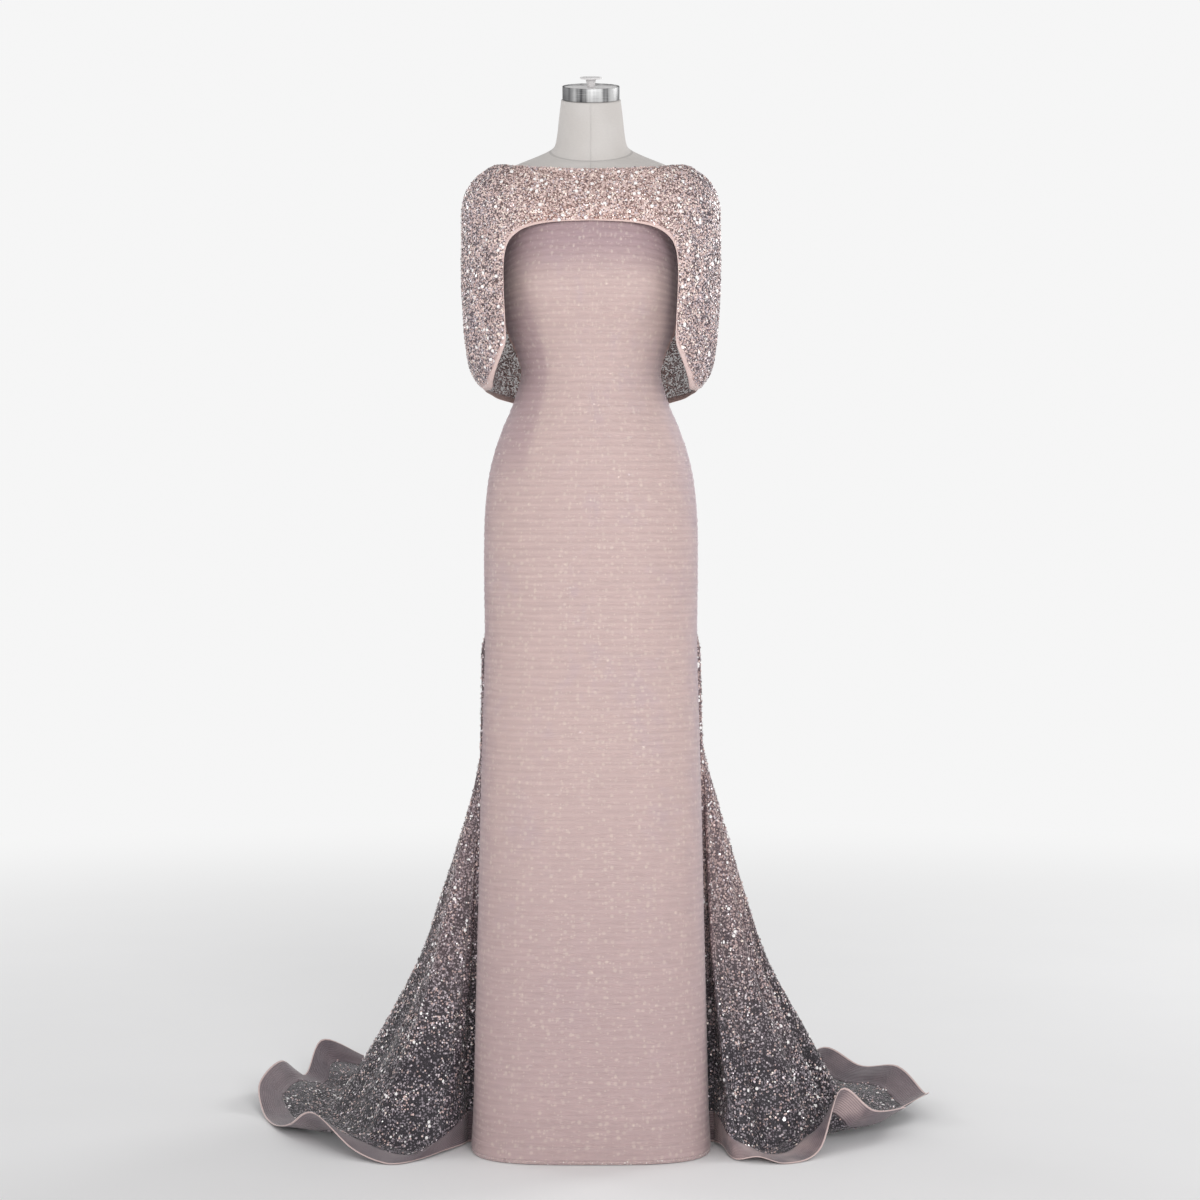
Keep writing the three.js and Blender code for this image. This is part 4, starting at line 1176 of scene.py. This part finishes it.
class GownColours(bpy.types.PropertyGroup):
    blush: colour_setting("Blush", "The veil at the centre front", 221, 197, 193)
    rose: colour_setting("Rose", "The veil near the floor, and the zip's tape", 202, 177, 178)
    # Mauve and lilac also carry painted side lighting on the veil: shade at its left, light at its right.
    mauve: colour_setting("Mauve", "The veil at the left side and the neck", 178, 150, 160)
    lilac: colour_setting("Lilac", "The veil at the right side", 200, 180, 190)
    champagne: colour_setting("Champagne", "The warm sequins", 252, 236, 224)
    coral: colour_setting("Coral", "The binding at the neck", 236, 168, 148)
    sequin_blush: colour_setting("Blush sequins", "The commonest sequins", 230, 204, 198)
    sequin_rose: colour_setting("Rose sequins", "The darker sequins", 200, 172, 168)
    sequin_silver: colour_setting("Silver sequins", "The cool sequins", 206, 192, 198)
    sequin_slate: colour_setting("Slate sequins", "The darkest, at the sides and low down", 112, 98, 106)
    net: colour_setting("Net", "The cape's net between its sequins", 186, 150, 142)
    train_top: colour_setting("Upper train", "The train's net below the seam", 122, 102, 106)
    train_chip: colour_setting("Upper chips", "The train's chips below the seam", 178, 156, 160)
    # Lower train is partly painted shade, the dark that shows through the net near the floor.
    train_low_shade: colour_setting("Lower train", "The train's net near the floor", 58, 52, 60)
    train_chip_low: colour_setting("Lower chips", "The train's chips near the floor", 150, 140, 148)
    braid: colour_setting("Braid", "The hem's braid at the left", 138, 122, 127)
    # Painted light: the braid's lighter colour at the right, where the light falls.
    braid_right: colour_setting("Braid at the right", "The hem's braid at the right", 184, 162, 162)
    braid_shadow: colour_setting("Braid shadow", "The braid's darker patches", 108, 95, 102)


class GownSizes(bpy.types.PropertyGroup):
    small_sequin: FloatProperty(
        name="Small sequin", description="Width of a usual sequin", default=0.0027, unit="LENGTH", min=0.001
    )
    large_sequin: FloatProperty(
        name="Large sequin", description="Width of the bright ones", default=0.0056, unit="LENGTH", min=0.001
    )
    cape_sequins: IntProperty(name="Cape sequins", description="On each half", default=17000, min=0)
    train_sequins: IntProperty(name="Train sequins", description="On each half", default=24000, min=0)
    column_sequins: IntProperty(name="Column sequins", description="Under the veil", default=5000, min=0)
    back_sequins: IntProperty(name="Back sequins", description="On each upper back", default=5000, min=0)


# Pieces


class AddDressForm(bpy.types.Operator):
    """The linen form with its steel cap and knob"""

    bl_idname = "gown.add_dress_form"
    bl_label = "Dress form"

    def execute(self, context):
        turns = even_turns(-180, 180, 113)[:-1]
        body_levels = np.linspace(FORM_BOTTOM, NECK_TOP + NECK_ALLOWANCE, 84)
        body = figure_grid(turns, body_levels, 0)
        heights = np.linspace(SHOULDERS["z"][0], SHOULDERS["z"][-1], 70)
        row = read(SHOULDERS, "z", heights[:, None] + 0 * turns)
        x, y = on_oval(turns[None, :], row["half"], row["front"], row["back"], row["square"])
        neck = points(x, y, heights[:, None] + y * np.tan(np.radians(row["tip"])))
        between = [lerp(body[-1], neck[0], share) for share in (0.34, 0.67)]
        grid = np.concatenate([body, np.array(between), neck])
        levels = np.concatenate([body_levels, BETWEEN_LEVELS, heights])
        v, u = np.meshgrid(levels / CAP_SEAT, np.linspace(0, 1, len(turns) + 1), indexing="ij")
        made = grid_object("form_body", grid, np.stack([u, v], -1), closed=True, ends=True)
        made.data.materials.append(linen())
        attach(made, "root")
        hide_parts("form_torso")
        self.add_cap()
        return {"FINISHED"}

    def add_cap(self):
        seat = Matrix.Translation((0, 0, CAP_SEAT * MM)) @ Matrix.Rotation(radians(CAP_TIP), 4, "X")
        band = self.cylinder(CAP_RADIUS, CAP_HEIGHT - CAP_GAP, CAP_GAP, CAP_SIDES)
        for end in (1, -1):
            self.pick_end(band, end)
            bpy.ops.mesh.inset(thickness=CAP_WALL * MM)
            bpy.ops.mesh.delete(type="FACE")
            bpy.ops.object.mode_set(mode="OBJECT")
        bpy.ops.object.mode_set(mode="EDIT")
        bpy.ops.mesh.select_mode(type="EDGE")
        bpy.ops.mesh.select_non_manifold(extend=False)
        bpy.ops.mesh.bridge_edge_loops()
        bpy.ops.mesh.select_all(action="SELECT")
        bpy.ops.mesh.normals_make_consistent(inside=False)
        bpy.ops.object.mode_set(mode="OBJECT")
        band.name = "cap_band"
        band.matrix_world = seat @ band.matrix_world
        hard_piece(band, ["form_cap_band"], brushed_steel("cap_steel", 0.78, 0.85))
        plate = self.cylinder(CAP_RADIUS - CAP_WALL - CAP_GAP, CAP_HEIGHT - PLATE_SINK, CAP_GAP, CAP_SIDES)
        plate.name = "cap_plate"
        plate.matrix_world = seat @ plate.matrix_world
        hard_piece(plate, ["form_cap_plate"], knob_finish(), 0.6)
        self.add_knob(seat)

    def add_knob(self, seat):
        foot = CAP_HEIGHT - KNOB_SINK
        knob = self.cylinder(KNOB_NECK, KNOB_STEM_HEIGHT, foot, KNOB_SIDES)
        self.pick_end(knob, 1)
        grow = KNOB_STEM / KNOB_NECK
        bpy.ops.transform.resize(value=(grow, grow, 1))
        widen = KNOB_HEAD / KNOB_STEM
        bpy.ops.mesh.extrude_region_move()
        bpy.ops.transform.resize(value=(widen, widen, 1))
        bpy.ops.mesh.extrude_region_move(TRANSFORM_OT_translate={"value": (0, 0, KNOB_HEAD_HEIGHT * MM)})
        bpy.ops.object.mode_set(mode="OBJECT")
        knob.name = "cap_knob"
        knob.matrix_world = seat @ knob.matrix_world
        hard_piece(knob, ["form_knob"], knob_finish(), 0.5)

    def pick_end(self, made, end):
        """Selects the faces at the top, or at the bottom where end is -1, and leaves edit mode on."""
        bpy.ops.object.mode_set(mode="EDIT")
        bpy.ops.mesh.select_mode(type="FACE")
        bpy.ops.mesh.select_all(action="DESELECT")
        bpy.ops.object.mode_set(mode="OBJECT")
        for face in made.data.polygons:
            face.select = face.normal.z * end > FACES_END
        bpy.ops.object.mode_set(mode="EDIT")

    def cylinder(self, radius, height, foot, sides):
        bpy.ops.object.select_all(action="DESELECT")
        middle = (0, 0, (foot + height / 2) * MM)
        bpy.ops.mesh.primitive_cylinder_add(
            vertices=sides, radius=radius * MM, depth=height * MM, location=middle, end_fill_type="NGON"
        )
        return bpy.context.object


class AddStand(bpy.types.Operator):
    """Finishes for the pole, its collar and the base plate"""

    bl_idname = "gown.add_stand"
    bl_label = "Stand"

    def execute(self, context):
        finishes_by_node = {
            "stand_pole": brushed_steel("pole_steel", 0.7, 0.3),
            "stand_collar": cast_iron(),
            "stand_plate": cast_iron(),
        }
        for node, finish in finishes_by_node.items():
            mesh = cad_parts[node].data
            mesh.materials.clear()
            mesh.materials.append(finish)
        return {"FINISHED"}


class AddColumn(bpy.types.Operator):
    """The sequinned panels under the veil, the upper backs, the zip and the neck binding"""

    bl_idname = "gown.add_column"
    bl_label = "Column"

    def execute(self, context):
        colours, sizes = context.scene.gown_colours, context.scene.gown_sizes
        under = sequinned_cloth("sequinned_front", linear(colours.rose), linear(colours.blush))
        back = sequinned_cloth("sequinned_back", linear(colours.net), linear(colours.sequin_blush))
        levels = np.linspace(COLUMN_FOOT, NECK_TOP + NECK_ALLOWANCE, 150)
        beneath = [self.add_under_sequins(sizes, colours)]
        seam = PRINCESS_TURN
        self.add_panel("front_centre_panel", "front_centre", (-seam, seam, 34), levels, under, beneath)
        self.add_panel("side_front_right_panel", "side_front_right", (seam, 90, 30), levels, under)
        self.add_panel("side_front_left_panel", "side_front_left", (-90, -seam, 30), levels, under)
        self.add_back("back_right", 90, 180 - ZIP_TURN, back, sizes, colours)
        self.add_back("back_left", 180 + ZIP_TURN, 270, back, sizes, colours)
        self.add_zip(colours)
        self.add_binding(colours)
        return {"FINISHED"}

    def add_under_sequins(self, sizes, colours):
        """Sequins in level rows, one row to a tuck, gathered in faint upright columns."""
        random = np.random.default_rng(SEEDS["column"])
        turns = even_turns(-90, 90, 181)
        count = sizes.column_sequins
        share = random.random(count * 3)
        tuck = random.integers(0, TUCK_COUNT, count * 3)
        columns = 0.5 + 0.5 * np.cos((share - 0.5) * 2 * pi * 8)
        middle = 1 - np.abs(share - 0.5) * 2
        keep = random.random(count * 3) < 0.15 + 0.35 * columns**2 + 0.4 * middle
        share, tuck = share[keep][:count], tuck[keep][:count]
        count = len(share)
        turn = np.interp(share, np.linspace(0, 1, len(turns)), turns)
        level = VEIL_HEM + (tuck + ROW_IN_TUCK) * TUCK_PITCH + random.normal(0, ROW_SPREAD, count)
        level = np.clip(level, VEIL_HEM + 4, NECK_TOP - 3)
        height = level_at(level, turn)
        places = on_figure(turn, height, CLOTH_OUTSIDE)
        ahead = on_figure(turn + 0.5, height, CLOTH_OUTSIDE) - places
        above = on_figure(turn, height + 1, CLOTH_OUTSIDE) - places
        normals = unit(np.cross(ahead, above))
        picks = pick_finish(
            np.stack([share, level / NECK_TOP], -1),
            random,
            lambda u, v: chances(len(u), 0.5, 0.1, 0.06, 0.3, 0.05, 0),
        )
        widths = random.normal(sizes.small_sequin / MM * 0.95, 0.3, count).clip(1.8, 4)
        return sequins(
            "column_sequins", places, normals, widths, picks, colours, random, COLUMN_TILT
        )

    def add_panel(self, name, node, span, levels, finish, with_pieces=()):
        start, end, count = span
        grid = figure_grid(even_turns(start, end, count), levels, CLOTH_OUTSIDE)
        made = grid_object(name, grid)
        walled(made, CLOTH_WALL, finish)
        cloth(made, grid, [node])

    def add_back(self, node, start, end, finish, sizes, colours):
        turns = even_turns(start, end, 60)
        seam = train_seam_level(turns)
        share = np.linspace(0, 1, 90)[:, None]
        level = lerp(seam[None, :], NECK_TOP + NECK_ALLOWANCE, share)
        turn = np.broadcast_to(turns[None, :], level.shape)
        grid = on_figure(turn, level_at(level, turn), CLOTH_OUTSIDE)
        made = grid_object(f"{node}_panel", grid)
        walled(made, CLOTH_WALL, finish)
        random = np.random.default_rng(SEEDS[node])
        places, normals, shares = scatter(grid, sizes.back_sequins, random)
        picks = pick_finish(shares, random, lambda u, v: chances(len(u), 0.4, 0.22, 0.2, 0.12, 0.06, 0.02))
        widths = random.normal(sizes.small_sequin / MM, 0.35, len(places)).clip(1.8, 4.4)
        name = f"{node}_sequins"
        trim = sequins(name, places, normals, widths, picks, colours, random)
        cloth(made, grid, [node])

    def add_zip(self, colours):
        turns = np.linspace(180 - ZIP_TURN, 180 + ZIP_TURN, 13)
        levels = np.linspace(TRAIN_SEAM_CENTRE, NECK_TOP + NECK_ALLOWANCE, 70)
        ridge = 0.7 * np.exp(-(((turns - 180) / 0.7) ** 2))
        grid = figure_grid(turns, levels, CLOTH_OUTSIDE + ridge[None, :])
        made = grid_object("back_zip_tape", grid)
        walled(made, CLOTH_WALL, zip_tape(colours))
        cloth(made, grid, ["back_zip"])

    def add_binding(self, colours):
        turns = even_turns(-180, 180, 161)[:-1]
        levels = NECK_TOP + np.array([0.3, 0.8, 1.6, 2.6, 3.6, 4.6, 5.3, 5.7, 5.3, 4.4, 3.4, 2.1])
        outs = [2.2, 2.8, 3.1, 3.2, 3.1, 2.9, 2.4, 1.5, 0.7, 0.35, 0.3, 0.3]
        rows = [on_figure(turns, level_at(level, turns), out) for level, out in zip(levels, outs)]
        grid = np.array(rows)
        made = grid_object("neck_binding_strip", grid, closed=True)
        walled(made, BINDING_WALL, satin("coral_binding", linear(colours.coral)))
        cloth(made, grid, ["neck_binding"])


class AddVeil(bpy.types.Operator):
    """The sheer tucked tulle over the column's front"""

    bl_idname = "gown.add_veil"
    bl_label = "Veil"

    def execute(self, context):
        turns = even_turns(-90, 90, 80)
        grid, shares = veil_grid(turns)
        made = grid_object("front_veil_tulle", grid, shares)
        walled(made, VEIL_WALL, veil_tulle(context.scene.gown_colours))
        level_cut = figure_grid(turns, np.linspace(VEIL_HEM, NECK_TOP, 80), VEIL_OUTSIDE)
        cloth(made, level_cut, ["front_veil"])
        return {"FINISHED"}


class AddCape(bpy.types.Operator):
    """The sequinned cape, its front and back sewn over the shoulders"""

    bl_idname = "gown.add_cape"
    bl_label = "Cape"

    def execute(self, context):
        colours, sizes = context.scene.gown_colours, context.scene.gown_sizes
        outside = cape_net("cape_net", colours, 1.0, 0.4)
        # The inside is the same net dimmed to 0.6 as painted shade.
        inside = cape_net("cape_net_inside_shaded", colours, 0.6, 0.5)
        for half in ("front", "back"):
            grid = cape_grid(half)
            made = grid_object(f"cape_{half}_net", grid)
            walled(made, CAPE_WALL, outside, inside)
            trim = self.add_sequins(half, grid, sizes, colours)
            cloth(made, grid, [f"cape_{half}"])
        return {"FINISHED"}

    def add_sequins(self, half, grid, sizes, colours):
        seed = SEEDS[f"cape_{half}"]
        random = np.random.default_rng(seed)

        def thickness(u, v):
            return (0.45 + 0.55 * clumps(u * 2, v, seed, 11)) * smoothstep(v, 0.018, 0.03)

        def rule(u, v):
            side = np.abs(u - 0.5) * 2 if half == "front" else np.ones_like(u)
            outer = smoothstep(side, 0.45, 1)
            blush, rose, silver = 0.44 - 0.24 * outer, 0.24 + 0.06 * outer, 0.12 + 0.12 * outer
            champagne, slate = 0.12 - 0.08 * outer, 0.03 + 0.12 * outer
            return chances(len(u), blush, rose, silver, champagne, 0.02, slate)

        places, normals, shares = scatter(grid, sizes.cape_sequins, random, weights_on(grid, thickness))
        picks = pick_finish(shares, random, rule)
        widths = random.normal(sizes.small_sequin / MM, 0.4, len(places)).clip(1.6, 4)
        tilt = np.full(len(places), CAPE_TILT)
        add_white_glint_sequins(random, widths, picks, tilt, sizes, CAPE_LARGE_SHARE)
        name = f"cape_{half}_sequins"
        return sequins(name, places, normals, widths, picks, colours, random, tilt)


class AddTrain(bpy.types.Operator):
    """The sheer sequinned train in two halves, and the stiff braid along its edge"""

    bl_idname = "gown.add_train"
    bl_label = "Train"

    def execute(self, context):
        colours, sizes = context.scene.gown_colours, context.scene.gown_sizes
        net = train_net("train_net", colours, 0.2)
        net_inside = train_net("train_net_inside", colours, 0.62)
        braid = horsehair_braid("braid", colours, 0.1)
        braid_inside = horsehair_braid("braid_inside", colours, 0.95)
        net_places = np.concatenate([np.linspace(0, 9, 70), np.linspace(9.2, 10.06, 9)])
        net_grid = train_grid(net_places)
        braid_grid = train_grid(np.linspace(10, 11, 14))
        middle = net_grid.shape[1] // 2
        halves = {"left": slice(0, middle + 1), "right": slice(middle, None)}
        for side, columns in halves.items():
            grid = net_grid[:, columns]
            shares = shares_of(grid)
            shares[..., 1] = 1 - shares[..., 1]
            made = grid_object(f"train_{side}_net", grid, shares)
            walled(made, NET_WALL, net, net_inside)
            trim = self.add_sequins(side, grid, sizes, colours)
            cloth(made, grid, [f"train_{side}"])
            ribbon = braid_grid[:, columns] + normals_of(braid_grid)[:, columns] * 0.5
            strip = grid_object(f"braid_{side}_ribbon", ribbon)
            walled(strip, BRAID_WALL, braid, braid_inside)
            cloth(strip, ribbon, [f"braid_{side}"])
        return {"FINISHED"}

    def add_sequins(self, side, grid, sizes, colours):
        seed = SEEDS[f"train_{side}"]
        random = np.random.default_rng(seed)

        def thickness(u, v):
            return (0.3 + 0.7 * (1 - v) ** 0.7) * (0.25 + 0.75 * clumps(u * 2.2, v * 2, seed, 12) ** 1.5)

        def rule(u, v):
            return chances(len(u), 0.1, 0.34 - 0.1 * v, 0.3 + 0.1 * v, 0.04, 0.04, 0.1 + 0.16 * v)

        places, normals, shares = scatter(grid, sizes.train_sequins, random, weights_on(grid, thickness))
        picks = pick_finish(shares, random, rule)
        widths = random.normal(sizes.small_sequin / MM * 1.08, 0.5, len(places)).clip(1.7, 4.4)
        tilt = np.full(len(places), TRAIN_TILT)
        add_white_glint_sequins(random, widths, picks, tilt, sizes, TRAIN_LARGE_SHARE)
        inside = random.random(len(places)) < INSIDE_SHARE
        normals[inside] *= -1
        places[inside] += normals[inside] * NET_WALL
        shaded = inside & (places[:, 1] > REAR_FROM) & (random.random(len(places)) < REAR_SHADED_SHARE)
        picks[shaded] = SEQUIN_KINDS.index("slate")
        name = f"train_{side}_sequins"
        return sequins(name, places, normals, widths, picks, colours, random, tilt)


class AddStudio(bpy.types.Operator):
    """A plain pale floor, soft lights and the photograph's camera"""

    bl_idname = "gown.add_studio"
    bl_label = "Studio"

    def execute(self, context):
        self.add_floor()
        self.add_world(context.scene)
        for light in LIGHTS:
            self.add_light(*light)
        self.add_camera(context.scene)
        return {"FINISHED"}

    def add_floor(self):
        bpy.ops.object.select_all(action="DESELECT")
        bpy.ops.mesh.primitive_circle_add(
            vertices=96, radius=FLOOR_RADIUS, fill_type="NGON", location=(0, 0, FLOOR_LEVEL)
        )
        floor = bpy.context.object
        floor.name = "studio_floor"
        inputs = {"Roughness": 1.0, "Emission Strength": 1.0, "Specular IOR Level": 0.0}
        finish = Finish("pale_floor", inputs=inputs)
        x, y, _ = across_and_up(finish)
        far = ((x * x + y * y) ** 0.5).ramp(*FLOOR_FADE)
        grain = finish.noise(finish.place(), 3, 2)
        near = finish.mix(grain, (0.87, 0.87, 0.875, 1), (0.9, 0.9, 0.905, 1))
        finish.colour(finish.mix(far, near, (0, 0, 0, 1)))
        finish.set("Emission Color", finish.mix(far, (0, 0, 0, 1), (HORIZON, HORIZON, HORIZON, 1)))
        floor.data.materials.append(finish.material)

    def add_world(self, scene):
        """Light that is brightest level with the floor's far edge and softer overhead."""
        world = bpy.data.worlds.new("studio_air")
        world.use_nodes = True
        nodes, links = world.node_tree.nodes, world.node_tree.links
        nodes.clear()
        place = nodes.new("ShaderNodeTexCoord")
        parts = nodes.new("ShaderNodeSeparateXYZ")
        ramp = nodes.new("ShaderNodeValToRGB")
        while len(ramp.color_ramp.elements) < len(SKY):
            ramp.color_ramp.elements.new(0.5)
        for element, (position, light) in zip(ramp.color_ramp.elements, SKY):
            element.position = position
            element.color = (light, light, light, 1)
        background = nodes.new("ShaderNodeBackground")
        output = nodes.new("ShaderNodeOutputWorld")
        links.new(place.outputs["Generated"], parts.inputs[0])
        links.new(parts.outputs["Z"], ramp.inputs["Fac"])
        links.new(ramp.outputs["Color"], background.inputs["Color"])
        links.new(background.outputs[0], output.inputs["Surface"])
        scene.world = world

    def add_light(self, name, place, target, size, power):
        data = bpy.data.lights.new(name, "AREA")
        data.shape = "DISK"
        data.size = size
        data.energy = power
        light = bpy.data.objects.new(name, data)
        light.location = place
        light.rotation_euler = (Vector(target) - Vector(place)).to_track_quat("-Z", "Y").to_euler()
        bpy.context.scene.collection.objects.link(light)

    def add_camera(self, scene):
        data = bpy.data.cameras.new("view")
        data.lens = CAMERA_LENS
        data.sensor_width = SENSOR
        data.clip_end = 100
        camera = bpy.data.objects.new("view", data)
        camera.location = CAMERA_PLACE
        camera.rotation_euler = (radians(CAMERA_PITCH), 0, 0)
        scene.collection.objects.link(camera)
        scene.camera = camera
        scene.view_settings.view_transform = "Standard"


OPERATORS = (AddDressForm, AddStand, AddColumn, AddVeil, AddCape, AddTrain, AddStudio)


class GownPanel(bpy.types.Panel):
    """The gown's pieces and settings"""

    bl_idname = "GOWN_PT_pieces"
    bl_label = "Evening gown"
    bl_space_type = "VIEW_3D"
    bl_region_type = "UI"
    bl_category = "Gown"

    def draw(self, context):
        for settings in (context.scene.gown_colours, context.scene.gown_sizes):
            column = self.layout.column(align=True)
            for name in settings.__annotations__:
                column.prop(settings, name)
        for operator in OPERATORS:
            self.layout.operator(operator.bl_idname)


CLASSES = (GownColours, GownSizes, *OPERATORS, GownPanel)


def register():
    for made in CLASSES:
        bpy.utils.register_class(made)
    bpy.types.Scene.gown_colours = PointerProperty(type=GownColours)
    bpy.types.Scene.gown_sizes = PointerProperty(type=GownSizes)


def unregister():
    del bpy.types.Scene.gown_sizes
    del bpy.types.Scene.gown_colours
    for made in reversed(CLASSES):
        bpy.utils.unregister_class(made)


def main():
    register()
    bpy.ops.gown.add_dress_form()
    bpy.ops.gown.add_stand()
    bpy.ops.gown.add_column()
    bpy.ops.gown.add_veil()
    bpy.ops.gown.add_cape()
    bpy.ops.gown.add_train()
    bpy.ops.gown.add_studio()


if __name__ == "__main__":
    main()
